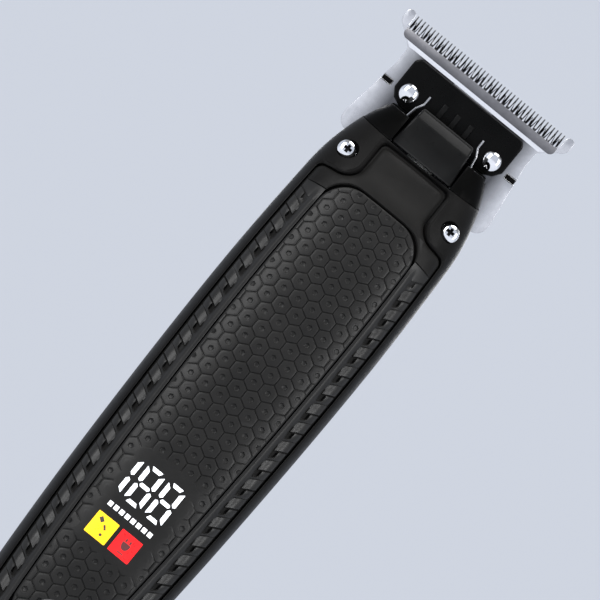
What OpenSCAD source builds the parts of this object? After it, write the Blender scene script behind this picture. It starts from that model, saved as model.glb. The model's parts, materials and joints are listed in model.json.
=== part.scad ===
// Cordless hair clipper with a T-shaped blade.
// Frame: +Z up towards the teeth, +X to the right, the display face looks along -Y.
// The origin is the centre of the flat base. All lengths are in millimetres.

/* [Casing] */
// Height of the tooth tips above the base
overall_h = 155; // [140:1:190]
// Widest part of the casing, at the hand
body_w = 35.4; // [30:0.1:43]
// Height of the widest part
grip_z = 92; // [85:1:98]
// Width of the casing between the display and the hand
waist_w = 33.6; // [30:0.1:38]
// Width of the casing beside the power button
low_w = 30.2; // [27:0.1:34]
// Width of the flat base
base_w = 25.4; // [23:0.1:30]
// Depth of the flat base, front to back
base_d = 22.4; // [20:0.1:28]
// Width across the screw ears
shoulder_w = 34.4; // [32:0.1:38]
// Width of the neck at the top edge of the covers
neck_w = 28.6; // [27.6:0.1:32]
// Depth in front of the parting plane, at the hand
front_d = 14; // [13.2:0.1:17]
// Depth behind the parting plane, at the hand
back_d = 14.6; // [13:0.1:18]
// Wall of the rear shell
wall = 1.8; // [1.5:0.1:2.2]
// Wall of the front cover with its inlays
front_wall = 2.4; // [2.3:0.1:2.8]
// Gap between the two covers at the parting plane
parting_gap = 0.1; // [0.05:0.01:0.3]
// How square the cross-section is
squareness = 2.6; // [2.2:0.1:3.2]

/* [Inlays] */
// Thickness of the textured panel and the soft grip
inlay_t = 1.15; // [0.9:0.05:1.3]
// Rim left beside the soft grip
rim_w = 2.0; // [1.4:0.1:2.6]
// Width of each ribbed strip with its ridge and groove
strip_w = 4.6; // [3.8:0.1:5.2]
// Corner radius at the top of the panel
panel_top_r = 5.5; // [3:0.5:8]
// Corner radius at the bottom of the panel
panel_low_r = 6.5; // [4:0.5:6.5]
// Half the width of the recess under the blade
chin_half = 8.0; // [7:0.1:9]
// Depth of the lit inlays in the panel
light_t = 0.6; // [0.4:0.05:0.8]

/* [Display] */
// Height of the middle of the digits
digits_z = 48.1; // [44:0.1:56]
// Height of a digit
digit_h = 8.1; // [6:0.1:9]
// Width of a digit
digit_w = 4.1; // [3.2:0.1:4.2]
// Width of a digit's segment
seg_w = 0.95; // [0.6:0.05:1.1]
// Side of the two square icons
icon_side = 4.7; // [3.5:0.1:5]
// Height of the middle of the icons
icon_z = 37.6; // [36:0.1:40]

/* [Button] */
// Height of the power button's centre
button_z = 18.6; // [18:0.1:19.6]
// Radius of the power button
button_r = 4; // [3.4:0.1:4.4]
// Travel of the power button
button_travel = 0.4; // [0.2:0.05:0.5]
// Gap around the button
button_gap = 0.15; // [0.1:0.01:0.25]

/* [Blade] */
// Width across the lugs of the fixed blade
blade_w = 42; // [36:0.5:52]
// Length of the fixed blade from the tooth tips
blade_l = 27; // [26:0.1:30]
// Thickness of the fixed blade
blade_t = 1.5; // [1.2:0.1:2]
// Lean of the blade towards the display face
blade_tilt = 20; // [18:1:22]
// Forward place of the tooth tips
tip_y = -2; // [-3:0.1:-1.5]
// Spacing of the fixed blade's teeth
comb_pitch = 0.84; // [0.7:0.01:1.1]
// Length of the fixed blade's teeth
comb_tooth = 2.8; // [2:0.1:3.5]
// Spacing of the moving blade's teeth
cutter_pitch = 1.13; // [0.9:0.01:1.4]
// Thickness of the moving blade
cutter_t = 1.1; // [0.9:0.1:1.3]
// Distance of the moving teeth behind the fixed tooth tips
cutter_set = 1.2; // [0.6:0.1:1.6]
// Gap between the two blades
blade_gap = 0.03; // [0.02:0.01:0.08]
// Travel of the moving blade each way, and throw of the drive pin
throw = 1.1; // [0.8:0.1:1.2]
// Width of the black blade guide
guide_w = 27.2; // [26.6:0.1:32]
// Thickness of the black blade guide
guide_t = 2.6; // [2.4:0.1:3]
// Distance of the blade guide's screws from the middle
guide_screw_x = 10.5; // [10:0.1:11]
// Distance from the tooth tips to the top edge of the covers
head_l = 21.5; // [20.5:0.1:22]

/* [Drive] */
// Forward place of the motor's axis
motor_y = -1; // [-1.2:0.1:-0.6]
// Diameter of the motor
motor_d = 20; // [18:0.1:20.4]
// Depth of the motor across its flats
motor_flat = 15.4; // [14.4:0.1:15.8]
// Length of the motor can
motor_l = 24; // [20:0.5:25]
// Diameter of the motor shaft
shaft_d = 2; // [1.5:0.1:2.3]
// Diameter of the drive pin
pin_d = 1.6; // [1.2:0.1:1.8]
// Radial gap of the running fits
run_gap = 0.04; // [0.02:0.01:0.08]

/* [Power] */
// Diameter of the battery cell
cell_d = 14.2; // [12:0.1:14.8]
// Length of the battery cell
cell_l = 50; // [42:1:52]
// Height of the battery cell's lower end
cell_z = 36; // [35:0.5:40]
// Thickness of the circuit board
board_t = 1.2; // [0.8:0.1:1.6]

/* [Screws] */
// Head radius of the two screws in the ears
ear_head_r = 1.95; // [1.6:0.05:2.1]
// Distance of the ear screws from the middle
ear_x = 12.6; // [12:0.1:13]
// Shank radius of the case and blade screws
shank_r = 1.0; // [0.8:0.05:1.1]
// Clearance around shanks and heads
screw_gap = 0.2; // [0.1:0.05:0.3]

/* [Hidden] */
$fn = 48;
eps = 0.01;
fit = 0.15;          // gap between pieces that are set into each other
big = 400;           // a length beyond the whole object
ring_n = 36;         // points round a casing ring
base_round = 1.4;    // rounding of the base edge
crown_l = 14;        // distance from the tooth tips to the top of the neck form
ear_z = overall_h - 32;
shoulder_z = overall_h - 37;
neck_z = overall_h - 22;
crown_z = overall_h - crown_l;
low_z = 26;
waist_z = 56;
board_y = -8.2;      // front face of the circuit board
cell_y = 3.2;        // place of the battery cell's axis
motor_top = overall_h - 34;
motor_low = motor_top - motor_l;
cam_r = 3.2;
cam_low = overall_h - 26.6;
cam_top = overall_h - 22.1;
pin_top = overall_h - 17;
follower_half = throw * 2 + pin_d / 2 + 0.1 + 1.45;
tongue_half = follower_half + 0.3;
tongue_l = 19.2;
drive_half = follower_half + throw + 0.3;
cover_half_top = max(6.2, drive_half + 0.1);
cover_half_low = cover_half_top + 1.0;
function cover_face() = -form(neck_z, 2) - 3.8; // front of the spring cover at its lower end
guide_top = 5.95;
guide_low = 16;
panel_top = overall_h - 37.6;
panel_low = 12.8;
grip_low = 8.4;
chin_top = overall_h - 26.4;
display_z = [icon_z - icon_side / 2 - 0.4, digits_z + digit_h / 2 + 1.2];
display_half = 6.3;

// ---- Casing form ----
// Each station: [height, half width, front depth, back depth]
stations = [
  [0, base_w / 2 - base_round, base_d / 2 - base_round, base_d / 2 - base_round],
  [base_round, base_w / 2, base_d / 2, base_d / 2],
  [low_z, low_w / 2, front_d - 0.9, back_d - 1.2],
  [waist_z, waist_w / 2, front_d, back_d],
  [grip_z, body_w / 2, front_d, back_d - 0.4],
  [shoulder_z, shoulder_w / 2, front_d - 1.4, back_d - 2.6],
  [ear_z + 2, shoulder_w / 2 - 0.75, front_d - 2.6, back_d - 3.6],
  [neck_z, neck_w / 2, front_d - 4.4, back_d - 5],
  [neck_z + 5, neck_w / 2 - 2.15, front_d - 6, back_d - 6],
  [crown_z + 4, neck_w / 2 - 4.6, front_d - 7.4, back_d - 7]];

function station_before(z, i = 0) =
  (i >= len(stations) - 2 || z <= stations[i + 1][0]) ? i : station_before(z, i + 1);
function slope_at(i, k) =
  let (a = max(i - 1, 0), b = min(i + 1, len(stations) - 1))
  (stations[b][k] - stations[a][k]) / (stations[b][0] - stations[a][0]);
// A smooth curve through column k of the stations
function form(z, k) =
  let (i = station_before(z), h = stations[i + 1][0] - stations[i][0],
       t = min(max((z - stations[i][0]) / h, 0), 1), t2 = t * t, t3 = t2 * t)
  i == 0 ? stations[0][k] + (stations[1][k] - stations[0][k]) * sqrt(1 - pow(1 - t, 2)) :
  (2 * t3 - 3 * t2 + 1) * stations[i][k] + (t3 - 2 * t2 + t) * h * (i == 1 ? 0.12 : slope_at(i, k))
  + (3 * t2 - 2 * t3) * stations[i + 1][k] + (t3 - t2) * h * slope_at(i + 1, k);
function half_w(z) = form(z, 1);

function bend(c) = sign(c) * pow(abs(c), 2 / squareness);
function ring(z, inset, inset_front) = [for (i = [0:ring_n - 1])
  let (a = 360 * i / ring_n, s = bend(sin(a)))
  [bend(cos(a)) * (form(z, 1) - inset),
   s * (s < 0 ? form(z, 2) - inset_front : form(z, 3) - inset), z]];
function levels(lo, hi) = concat(
  [for (z = [0, 0.35, base_round, 8, 17, 26, 36, 48, 62, 78, grip_z]) if (z > lo + 0.3 && z < hi - 1) z],
  [for (d = [44, 37, 32, 28, 24.5, 21.5, 18, crown_l]) if (overall_h - d > max(grip_z + 3, lo + 0.3)
    && overall_h - d < hi - 0.5) overall_h - d]);

// The closed form of the casing, drawn in by inset, from height lo to height hi
module casing_form(inset = 0, inset_front = 0, lo = 0, hi = crown_z + 2) {
  zs = concat([lo], levels(lo, hi), [hi]);
  n = ring_n;
  m = len(zs);
  points = [for (z = zs) each ring(z, inset, inset_front)];
  sides = [for (j = [0:m - 2], i = [0:n - 1]) let (k = (i + 1) % n)
    each [[j * n + i, (j + 1) * n + i, (j + 1) * n + k], [j * n + i, (j + 1) * n + k, j * n + k]]];
  polyhedron(points, concat(sides, [[for (i = [0:n - 1]) i]],
    [[for (i = [n - 1:-1:0]) (m - 1) * n + i]]));
}

// ---- Helpers ----
// Puts children in the blade's own frame: x across, y through the blade, z up to the tooth tips
module at_blade() translate([0, tip_y, overall_h]) rotate([blade_tilt, 0, 0]) children();
// A flat outline drawn in x and z, filled from y0 to y1
module slab(y0, y1) translate([0, y1, 0]) rotate([90, 0, 0]) linear_extrude(y1 - y0) children();
module both_sides() {
  children();
  mirror([1, 0, 0]) children();
}
module block(x, y, z) translate([x[0], y[0], z[0]]) cube([x[1] - x[0], y[1] - y[0], z[1] - z[0]]);
// A cylinder along y from y0 to y1
module rod_y(r, y0, y1) translate([0, y0, 0]) rotate([-90, 0, 0]) cylinder(r = r, h = y1 - y0);
module shell_half(front) block([-big, big], front ? [-big, -parting_gap / 2] : [parting_gap / 2, big],
  [-big, big]);
// Everything below the slanted top edge of the covers
module below_neck(gap = 0) at_blade() block([-big, big], [-big, big], [-big, -head_l - gap]);

// Half width of an outline that keeps inset from the casing's silhouette, with round ends
function capped(z, inset, lo, hi, r_lo, r_hi) =
  let (t = z < lo + r_lo ? 1 - (z - lo) / r_lo : z > hi - r_hi ? 1 - (hi - z) / r_hi : 0,
       r = z < lo + r_lo ? r_lo : r_hi)
  half_w(z) - inset - r * (1 - sqrt(max(0, 1 - t * t)));
function cap_heights(lo, hi, r_lo, r_hi) = concat(
  [for (a = [0:15:75]) lo + r_lo * (1 - cos(a))], [lo + r_lo],
  [for (k = [1:11]) lo + r_lo + (hi - r_hi - lo - r_lo) * k / 12],
  [hi - r_hi], [for (a = [75:-15:0]) hi - r_hi * (1 - cos(a))]);
module capped_outline(inset, lo, hi, r_lo, r_hi) {
  zs = cap_heights(lo, hi, r_lo, r_hi);
  right = [for (z = zs) [capped(z, inset, lo, hi, r_lo, r_hi), z]];
  left = [for (i = [len(zs) - 1:-1:0]) [-right[i][0], right[i][1]]];
  polygon(concat(right, left));
}
module panel_outline(gap = 0) capped_outline(rim_w + strip_w + gap, panel_low + gap, panel_top - gap,
  panel_low_r, panel_top_r);
// The chin recess between the screw ears, and the two side channels that it runs into
ear_r = 3.6;
grip_top = ear_z - 5;
module grip_outline(gap = 0) {
  top = grip_top - gap;
  inset = rim_w + gap;
  half = chin_half - gap;
  r = ear_r + gap;
  right = concat(
    [for (z = cap_heights(grip_low + gap, top, 7, 1.2)) [capped(z, inset, grip_low + gap, top, 7, 1.2), z]],
    [for (a = [0:15:90]) [half + r - r * sin(a), top + r - r * cos(a)]],
    [[half, chin_top - gap - 1], [half - 1, chin_top - gap]]);
  left = [for (i = [len(right) - 1:-1:0]) [-right[i][0], right[i][1]]];
  polygon(concat(right, left));
}
// Children, kept within the covers' inner walls and above height lo
module inside_covers(lo) intersection() {
  casing_form(wall + fit, front_wall + fit, lo);
  union() children();
}
module inlay_layer(gap, t) {
  difference() {
    casing_form(gap, gap);
    casing_form(t, t, -1);
  }
}

// ---- Covers ----
module ear_hole(r, y0, y1) both_sides() translate([ear_x, 0, ear_z]) rod_y(r, y0, y1);
ear_seat = -form(ear_z, 2) + 3.8;
module front_cover() color([0.10, 0.10, 0.11]) difference() {
  union() {
    intersection() {
      difference() {
        casing_form();
        casing_form(wall, front_wall, front_wall);
      }
      shell_half(true);
      below_neck();
    }
    intersection() {
      ear_hole(2.6, -form(ear_z, 2) + 1, -4.6);
      casing_form(0.3, 0.3);
    }
  }
  intersection() {
    difference() {
      casing_form(-1, -1, -1);
      casing_form(inlay_t, inlay_t, 0);
    }
    slab(-big, -3) grip_outline();
  }
  ear_hole(shank_r + screw_gap, -big, 0);
  ear_hole(ear_head_r + screw_gap, -big, ear_seat);
  // Window for the lit display and hole for the power button
  block([-display_half - 0.3, display_half + 0.3], [-big, -5], display_z + [-0.3, 0.3]);
  translate([0, 0, button_z]) {
    rod_y(button_r + button_gap, -big, -5);
    rod_y(button_r + 1.1, flange_y - 0.15, -5);
  }
  port_cut();
}
module port_cut() block([-4.75, 4.75], [board_y + board_t - 0.15, board_y + board_t + 3.55],
  [-1, front_wall + 1]);

module rear_shell() color([0.09, 0.09, 0.10]) difference() {
  union() {
    intersection() {
      difference() {
        casing_form();
        casing_form(wall, front_wall, front_wall);
      }
      shell_half(false);
      below_neck();
      blade_room(blade_t + 0.2, false);
    }
    inside_covers(ear_z - 6) ear_hole(2.6, -4.5, 0.2);
    intersection() {
      ear_hole(2.6, 0.1, big);
      casing_form(0.3, 0.3, 1, overall_h - 22);
    }
  }
  ear_hole(shank_r, -5, 3.3);
  at_blade() block([-big, big], [-fit - 2, big], [-blade_l - 0.3, big]);
}
// What lies in front of the fixed blade's outer face, or below its lower end
module blade_room(t, deep) {
  union() {
    at_blade() block([-big, big], [-big, t], [-big, big]);
    at_blade() block([-big, big], [-big, big], [-big, -blade_l - 0.3]);
  }
}

module soft_grip() color([0.13, 0.13, 0.14]) intersection() {
  inlay_layer(0.25, inlay_t - 0.02);
  difference() {
    slab(-big, -3.2) grip_outline(0.12);
    slab(-big * 1.1, 0) panel_outline(-0.1);
  }
}

module grip_panel() color([0.11, 0.11, 0.12]) difference() {
  intersection() {
    inlay_layer(0, inlay_t - 0.02);
    slab(-big, -5) panel_outline();
  }
  slab(-big, 0) {
    digits_outline();
    level_outline();
    icon_outline(-1);
    icon_outline(1);
  }
  translate([0, 0, button_z]) rod_y(button_r + button_gap, -big, -5);
}

// ---- Lit inlays ----
// One straight segment with pointed ends
module segment(len) polygon([[-len / 2, 0], [-len / 2 + seg_w / 2, seg_w / 2], [len / 2 - seg_w / 2, seg_w / 2],
  [len / 2, 0], [len / 2 - seg_w / 2, -seg_w / 2], [-len / 2 + seg_w / 2, -seg_w / 2]]);
// Middle of each digit; the first shows a one, on its right
digit_x = [-1.7 - digit_w - 0.9, -1.7, 3.1];
// Segments in the order top, middle, bottom, upper left, upper right, lower left, lower right
module digit(lit) {
  w = digit_w - seg_w;
  h = (digit_h - seg_w) / 2;
  for (k = [0:2]) if (lit[k]) translate([0, h - k * h]) segment(w - 0.15);
  for (k = [0:3]) if (lit[3 + k])
    translate([(k % 2 == 0 ? -1 : 1) * w / 2, (k < 2 ? 1 : -1) * h / 2]) rotate(90) segment(h - 0.15);
}
module digits_outline() for (k = [0:2]) translate([digit_x[k], digits_z])
  digit(k == 0 ? [0, 0, 0, 0, 1, 0, 1] : [1, 1, 1, 1, 1, 1, 1]);
level_z = (digits_z - digit_h / 2 + icon_z + icon_side / 2) / 2;
module level_outline() for (k = [-4:3]) translate([k * 1.3 + 0.1, level_z - 0.5]) square([0.95, 1.0]);
// Square of one icon, left or right of the middle
module icon_outline(side) translate([side * (icon_side / 2 + 0.37) - 0.4, icon_z])
  square([icon_side, icon_side], center = true);
module lit_inlay() intersection() {
  difference() {
    casing_form(0.02, 0.02);
    casing_form(light_t, light_t, -1);
  }
  slab(-big, -5) children();
}
module display_digits() color([0.96, 0.97, 1.0]) lit_inlay() digits_outline();
module level_marks() color([0.9, 0.92, 0.95]) lit_inlay() level_outline();
module oil_icon() color([0.96, 0.75, 0.05]) lit_inlay() icon_outline(-1);
module plug_icon() color([0.88, 0.05, 0.06]) lit_inlay() icon_outline(1);

// ---- Button and board ----
button_face = -form(button_z, 2) - 0.35;
flange_y = board_y - 1.15 - button_travel;
switch_half = (button_r - 1) / sqrt(2) - 0.1;
module power_button() color([0.16, 0.16, 0.17]) translate([0, 0, button_z]) difference() {
  union() {
    rod_y(button_r, button_face, flange_y + 0.7);
    rod_y(button_r + 0.8, flange_y, flange_y + 0.7);
  }
  difference() {
    rod_y(button_r - 1, button_face + 1.3, flange_y + 1);
    rod_y(1.2, button_face, flange_y + 0.1);
  }
}
module switch_plunger() color([0.8, 0.1, 0.1]) translate([0, 0, button_z])
  rod_y(0.9, flange_y + 0.15, board_y - 0.25 - button_travel);
module tact_switch() color([0.75, 0.75, 0.76]) difference() {
  translate([0, 0, button_z])
    block([-switch_half, switch_half], [board_y - 1.05, board_y], [-switch_half, switch_half]);
  translate([0, 0, button_z]) rod_y(1.1, board_y - 2, board_y - 0.15);
}
board_hole_z = [30, 58];
module board_holes(r, y0, y1) both_sides() for (z = board_hole_z) translate([7.4, 0, z]) rod_y(r, y0, y1);
module circuit_board() color([0.05, 0.32, 0.16]) difference() {
  inside_covers(3) block([-9.2, 9.2], [board_y, board_y + board_t], [0, 62]);
  board_holes(0.9, -big, big);
}
module display_module() color([0.9, 0.9, 0.88])
  block([-display_half, display_half], [-form(display_z[0], 2) + 1.9, board_y], display_z);
port_y = board_y + board_t + 1.7;
module charging_socket() color([0.75, 0.76, 0.78]) difference() {
  block([-4.5, 4.5], [port_y - 1.65, port_y + 1.65], [0.5, 7.9]);
  block([-4.15, 4.15], [port_y - 1.3, port_y + 1.3], [-1, 7.4]);
}
module socket_tongue() color([0.1, 0.1, 0.1]) block([-3.3, 3.3], [port_y - 0.35, port_y + 0.35], [1.5, 7.4]);
module board_screws() color([0.75, 0.75, 0.78]) {
  board_holes(1.6, board_y - 0.8, board_y);
  board_holes(0.8, board_y - 0.4, board_y + 5);
}

// ---- Battery ----
cell_top = cell_z + cell_l;
module battery_cell() color([0.12, 0.30, 0.62]) translate([0, cell_y, cell_z]) {
  cylinder(d = cell_d, h = cell_l);
  cylinder(d = 5.4, h = cell_l + 0.8);
}
module battery_tabs() color([0.8, 0.8, 0.8]) {
  block([-2.5, 2.5], [cell_y - 6, cell_y + 4], [cell_z - 0.3, cell_z]);
  block([-2.5, 2.5], [cell_y - 6, cell_y + 4], [cell_top + 0.8, cell_top + 1.1]);
}
// Plastic cradle for the cell, the board and the motor
module inner_frame() color([0.25, 0.25, 0.27]) difference() {
  inside_covers(4) {
      block([-9, 9], [cell_y - 1.5, big], [cell_z - 8, cell_top + 3.6]);
      block([-9, 9], [-4.5, big], [cell_top + 1.6, cell_top + 3.6]);
      block([-9, 9], [-4.5, big], [cell_z - 3.6, cell_z - 1.2]);
      block([-9, 9], [4, big], [cell_top + 3.5, motor_top - 2]);
      both_sides() for (z = board_hole_z) translate([7.4, 0, z]) rod_y(1.6, board_y + board_t, cell_y);
  }
  translate([0, cell_y, cell_z - 1.2]) cylinder(d = cell_d + 2 * fit, h = cell_l + 2.8);
  block([-6.6, 6.6], [-8, 4], [cell_z - 10, cell_top + 1.5]);
  both_sides() block([3.6, 6.6], [-8, 3.9], [cell_top, motor_low - 0.5]);
  motor_body(fit, motor_low - 5, motor_top + 1);
  board_holes(0.8, -big, board_y + 5.2);
}

// ---- Motor ----
module motor_body(grow, lo, hi) intersection() {
  translate([0, motor_y, lo]) cylinder(d = motor_d + 2 * grow, h = hi - lo);
  block([-big, big], [motor_y - motor_flat / 2 - grow, motor_y + motor_flat / 2 + grow], [lo, hi]);
}
module on_motor(z) translate([0, motor_y, z]) children();
can_t = 0.8;
module motor_can() color([0.72, 0.73, 0.75]) difference() {
  union() {
    motor_body(0, motor_low, motor_top);
    on_motor(motor_top) cylinder(r = 3, h = 1.3);
  }
  motor_body(-can_t, motor_low - 1, motor_top - can_t);
  on_motor(motor_low) cylinder(r = 2.2, h = big);
  both_sides() translate([6, motor_y, motor_top - 2]) cylinder(r = 0.85, h = 4);
}
module motor_end_cap() color([0.92, 0.92, 0.9]) difference() {
  union() {
    motor_body(-can_t - 0.05, motor_low, motor_low + 2.4);
    on_motor(motor_low - 1.6) cylinder(r = 3, h = 1.7);
  }
  on_motor(motor_low - 3) cylinder(r = 2.2, h = 8);
  both_sides() block([4.9, 5.9], [motor_y - 1.3, motor_y + 1.3], [motor_low - 3, motor_low + 3]);
}
module motor_terminals() color([0.8, 0.6, 0.25]) both_sides()
  block([5.0, 5.8], [motor_y - 1.2, motor_y + 1.2], [motor_low - 3.2, motor_low + 2.3]);
module motor_magnets() color([0.2, 0.2, 0.22]) both_sides() intersection() {
  on_motor(motor_low + 4) difference() {
    cylinder(r = motor_d / 2 - can_t - 0.05, h = motor_l - 7);
    translate([0, 0, -1]) cylinder(r = motor_flat / 2 - can_t - 0.2, h = motor_l);
  }
  block([1, big], [motor_y - 5.5, motor_y + 5.5], [0, big]);
}
rotor_r = motor_flat / 2 - can_t - 0.5;
module motor_rotor() color([0.55, 0.35, 0.2]) difference() {
  union() {
    on_motor(motor_low + 5.2) cylinder(r = rotor_r, h = motor_l - 9.4);
    on_motor(motor_low + 2.9) cylinder(r = 2.6, h = 2.4);
  }
  on_motor(0) cylinder(d = shaft_d, h = big);
}
module motor_shaft() color([0.8, 0.8, 0.82])
  on_motor(motor_low - 1) cylinder(d = shaft_d, h = cam_low + 3.2 - motor_low + 1);
module motor_bearings() color([0.75, 0.6, 0.3]) for (z = [motor_low - 1.6, motor_top - can_t])
  on_motor(z) difference() {
    cylinder(r = 2.2, h = 2.1);
    translate([0, 0, -1]) cylinder(d = shaft_d + 2 * run_gap, h = 5);
  }
bracket_t = 1.2;
module motor_bracket() color([0.7, 0.71, 0.73]) difference() {
  block([-9.6, 9.6], [motor_y - 6.6, motor_y + 6.6], [motor_top + 0.05, motor_top + bracket_t]);
  on_motor(motor_top - 1) cylinder(r = 3.15, h = 4);
  both_sides() translate([6, motor_y, motor_top - 1]) cylinder(r = 1.0, h = 4);
}
module motor_screws() color([0.75, 0.75, 0.78]) both_sides() translate([6, motor_y, motor_top]) {
  translate([0, 0, -0.75]) cylinder(r = 0.85, h = bracket_t + 1);
  translate([0, 0, bracket_t]) cylinder(r = 1.7, h = 0.9);
}
module shaft_seal() color([0.15, 0.15, 0.16]) on_motor(motor_top + 1.35) difference() {
  cylinder(r = 3.6, h = 1.0);
  translate([0, 0, -1]) cylinder(d = shaft_d + 0.6, h = 3);
}

// ---- Drive ----
module eccentric_cam() color([0.85, 0.85, 0.83]) difference() {
  on_motor(cam_low) cylinder(r = cam_r, h = cam_top - cam_low);
  on_motor(cam_low - 1) cylinder(d = shaft_d, h = 4.2);
  translate([0, motor_y - throw, cam_top - 1]) cylinder(d = pin_d, h = 2);
}
module cam_pin() color([0.82, 0.83, 0.85])
  translate([0, motor_y - throw, cam_top - 1]) cylinder(d = pin_d, h = pin_top - cam_top + 1);
// Frame that the drive pin pushes from side to side, fixed on the moving blade's tongue
module drive_follower() color([0.85, 0.85, 0.82]) difference() {
  at_blade() block([-follower_half, follower_half], [-8.6, -blade_gap - 0.8], [-19.4, -16.4]);
  slot_y = throw + pin_d / 2 + 0.2;
  block([-1, 1] * (follower_half - 1.45), [motor_y - slot_y, motor_y + slot_y], [0, big]);
}

// ---- Head ----
module head_frame() color([0.07, 0.07, 0.08]) difference() {
  intersection() {
    union() {
      intersection() {
        casing_form(wall + fit, front_wall + fit, ear_z + 3.2, crown_z + 2);
        below_neck(-1);
      }
      intersection() {
        casing_form(0.1, 0.1, ear_z, crown_z + 2);
        at_blade() block([-big, big], [-big, big], [-head_l + 0.1, -guide_low - 0.1]);
      }
    }
    at_blade() block([-big, big], [cover_face() + 3.4, 0], [-big, -guide_low - 0.1]);
  }
  // Room for the cam, the follower and the cover in front of it
  on_motor(0) cylinder(r = cam_r + 1, h = overall_h - 17);
  at_blade() block([-drive_half, drive_half], [-big, 1], [-19.8, 0]);
  at_blade() block([-1, 1] * (cover_half_low + 0.15), [-big, -guide_t], [-head_l, 0]);
  both_sides() at_blade() {
    spring_room();
    translate([8, 0, -blade_screw_l]) rod_y(shank_r, -6.2, 5);
  }
}
blade_screw_l = 22.6;
spring_x = 8.6;
spring_y = -5.6;
spring_l = 19.4;
module spring_room() {
  block([7.2, 12.2], [spring_y - 2.6, spring_y + 2.6], [-spring_l - 2.7, 0]);
}
// Black block over the drive, between the blade springs
module spring_cover() color([0.12, 0.12, 0.13]) difference() {
  at_blade() intersection() {
    slab(-30, -guide_t - 0.05) polygon([[-cover_half_low, -head_l + 0.1], [-cover_half_top, -13.1],
      [cover_half_top, -13.1], [cover_half_low, -head_l + 0.1]]);
    rotate([90, 0, 90]) translate([0, 0, -20]) linear_extrude(40) polygon([[-guide_t - 0.05, -13.1],
      [cover_face() + 4, -13.1], [cover_face() + 2.4, -15], [cover_face(), -head_l + 0.1],
      [-guide_t - 0.05, -head_l + 0.1]]);
  }
  at_blade() block([-drive_half, drive_half], [cover_face() + 4, 0], [-big, -14.2]);
  on_motor(0) cylinder(r = cam_r + 0.5, h = cam_top + 0.5);
}

// Torsion spring: anchored leg, coil and the arm that presses on the guide
wire_r = 0.25;
coil_r = 1.8;
coil_turns = 3;
function coil_point(a) = [spring_x + 0.65 * a / 360, spring_y + coil_r * cos(a), -spring_l + coil_r * sin(a)];
spring_path = concat(
  [[6.7, -guide_t - wire_r - 0.05, -10.7], [6.75, -guide_t - wire_r - 0.1, -12.6],
   [7.6, -guide_t - 0.7, -14.2]],
  [for (a = [0:24:360 * coil_turns]) coil_point(a)],
  [[spring_x + 0.65 * coil_turns + 0.1, spring_y + coil_r, -spring_l + 1.2],
   [spring_x + 0.65 * coil_turns + 0.1, spring_y + coil_r, -spring_l + 2.2]]);
function unit(v) = v / norm(v);
function tangent(p, i) = unit(p[min(i + 1, len(p) - 1)] - p[max(i - 1, 0)]);
function frame_at(p, i, prev) = unit(prev - tangent(p, i) * (prev * tangent(p, i)));
function frames(p, i, prev, out) = i >= len(p) ? out :
  let (f = frame_at(p, i, prev)) frames(p, i + 1, f, concat(out, [f]));
// A round wire of radius r along the points p
module wire(p, r, start = [1, 0.2, 0.1], n = 8) {
  fs = frames(p, 0, start, []);
  points = [for (i = [0:len(p) - 1]) let (t = tangent(p, i), u = fs[i], v = cross(t, u))
    for (k = [0:n - 1]) p[i] + r * (u * cos(360 * k / n) + v * sin(360 * k / n))];
  m = len(p);
  polyhedron(points, concat([[for (k = [0:n - 1]) k]], [[for (k = [n - 1:-1:0]) (m - 1) * n + k]],
    [for (j = [0:m - 2], k = [0:n - 1]) let (q = (k + 1) % n)
      each [[j * n + k, (j + 1) * n + k, (j + 1) * n + q], [j * n + k, (j + 1) * n + q, j * n + q]]]));
}
module blade_springs() color([0.8, 0.81, 0.83]) both_sides() at_blade() wire(spring_path, wire_r);

// ---- Blades ----
lug_w = 1.9;
comb_half = blade_w / 2 - lug_w - 0.5;
// A row of teeth: pitch, half width of the row, root and tip widths, root and tip heights
module teeth(pitch, half, root_w, tip_w, root, tip) {
  n = floor(half / pitch);
  for (k = [-n:n]) translate([k * pitch, 0])
    polygon([[-root_w / 2, root - 0.1], [-root_w / 2, root], [-tip_w / 2, tip], [tip_w / 2, tip],
      [root_w / 2, root], [root_w / 2, root - 0.1]]);
}
wing_top = 16.3;
wing_low = 18.3;
wing_r = 2.6;
module fixed_outline() {
  teeth(comb_pitch, comb_half, comb_pitch * 0.6, comb_pitch * 0.35, -comb_tooth, 0);
  half = blade_w / 2;
  polygon(concat([[half - lug_w, -comb_tooth], [half - lug_w, -0.4], [half - lug_w + 0.5, 0.25],
    [half - 0.5, 0.25], [half, -0.4], [half, -2.2], [half - 0.9, -3.2], [half - 2.4, -4.2],
    [half - 4, -5.6], [wing_top, -6.2], [wing_top, -10], [wing_top + 0.5, -13], [wing_top + 1.0, -17],
    [wing_top + 1.6, -20.5], [wing_low, -23.2]],
    [for (a = [0:15:75]) [wing_low - wing_r * (1 - cos(a)), -blade_l + wing_r + 0.6 - (wing_r) * sin(a)]],
    [[wing_low - wing_r, -blade_l + 0.6], [14.6, -blade_l]],
    [[-14.6, -blade_l], [-wing_low + wing_r, -blade_l + 0.6]],
    [for (a = [75:-15:0]) [-wing_low + wing_r * (1 - cos(a)), -blade_l + wing_r + 0.6 - (wing_r) * sin(a)]],
    [[-wing_low, -23.2], [-wing_top - 1.6, -20.5], [-wing_top - 1.0, -17], [-wing_top - 0.5, -13],
    [-wing_top, -10], [-wing_top, -6.2], [-half + 4, -5.6], [-half + 2.4, -4.2], [-half + 0.9, -3.2],
    [-half, -2.2], [-half, -0.4], [-half + 0.5, 0.25], [-half + lug_w - 0.5, 0.25],
    [-half + lug_w, -0.4], [-half + lug_w, -comb_tooth]]));
}
notch_in = 14.45;
notch_z = [-13.95, -12.9];
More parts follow.
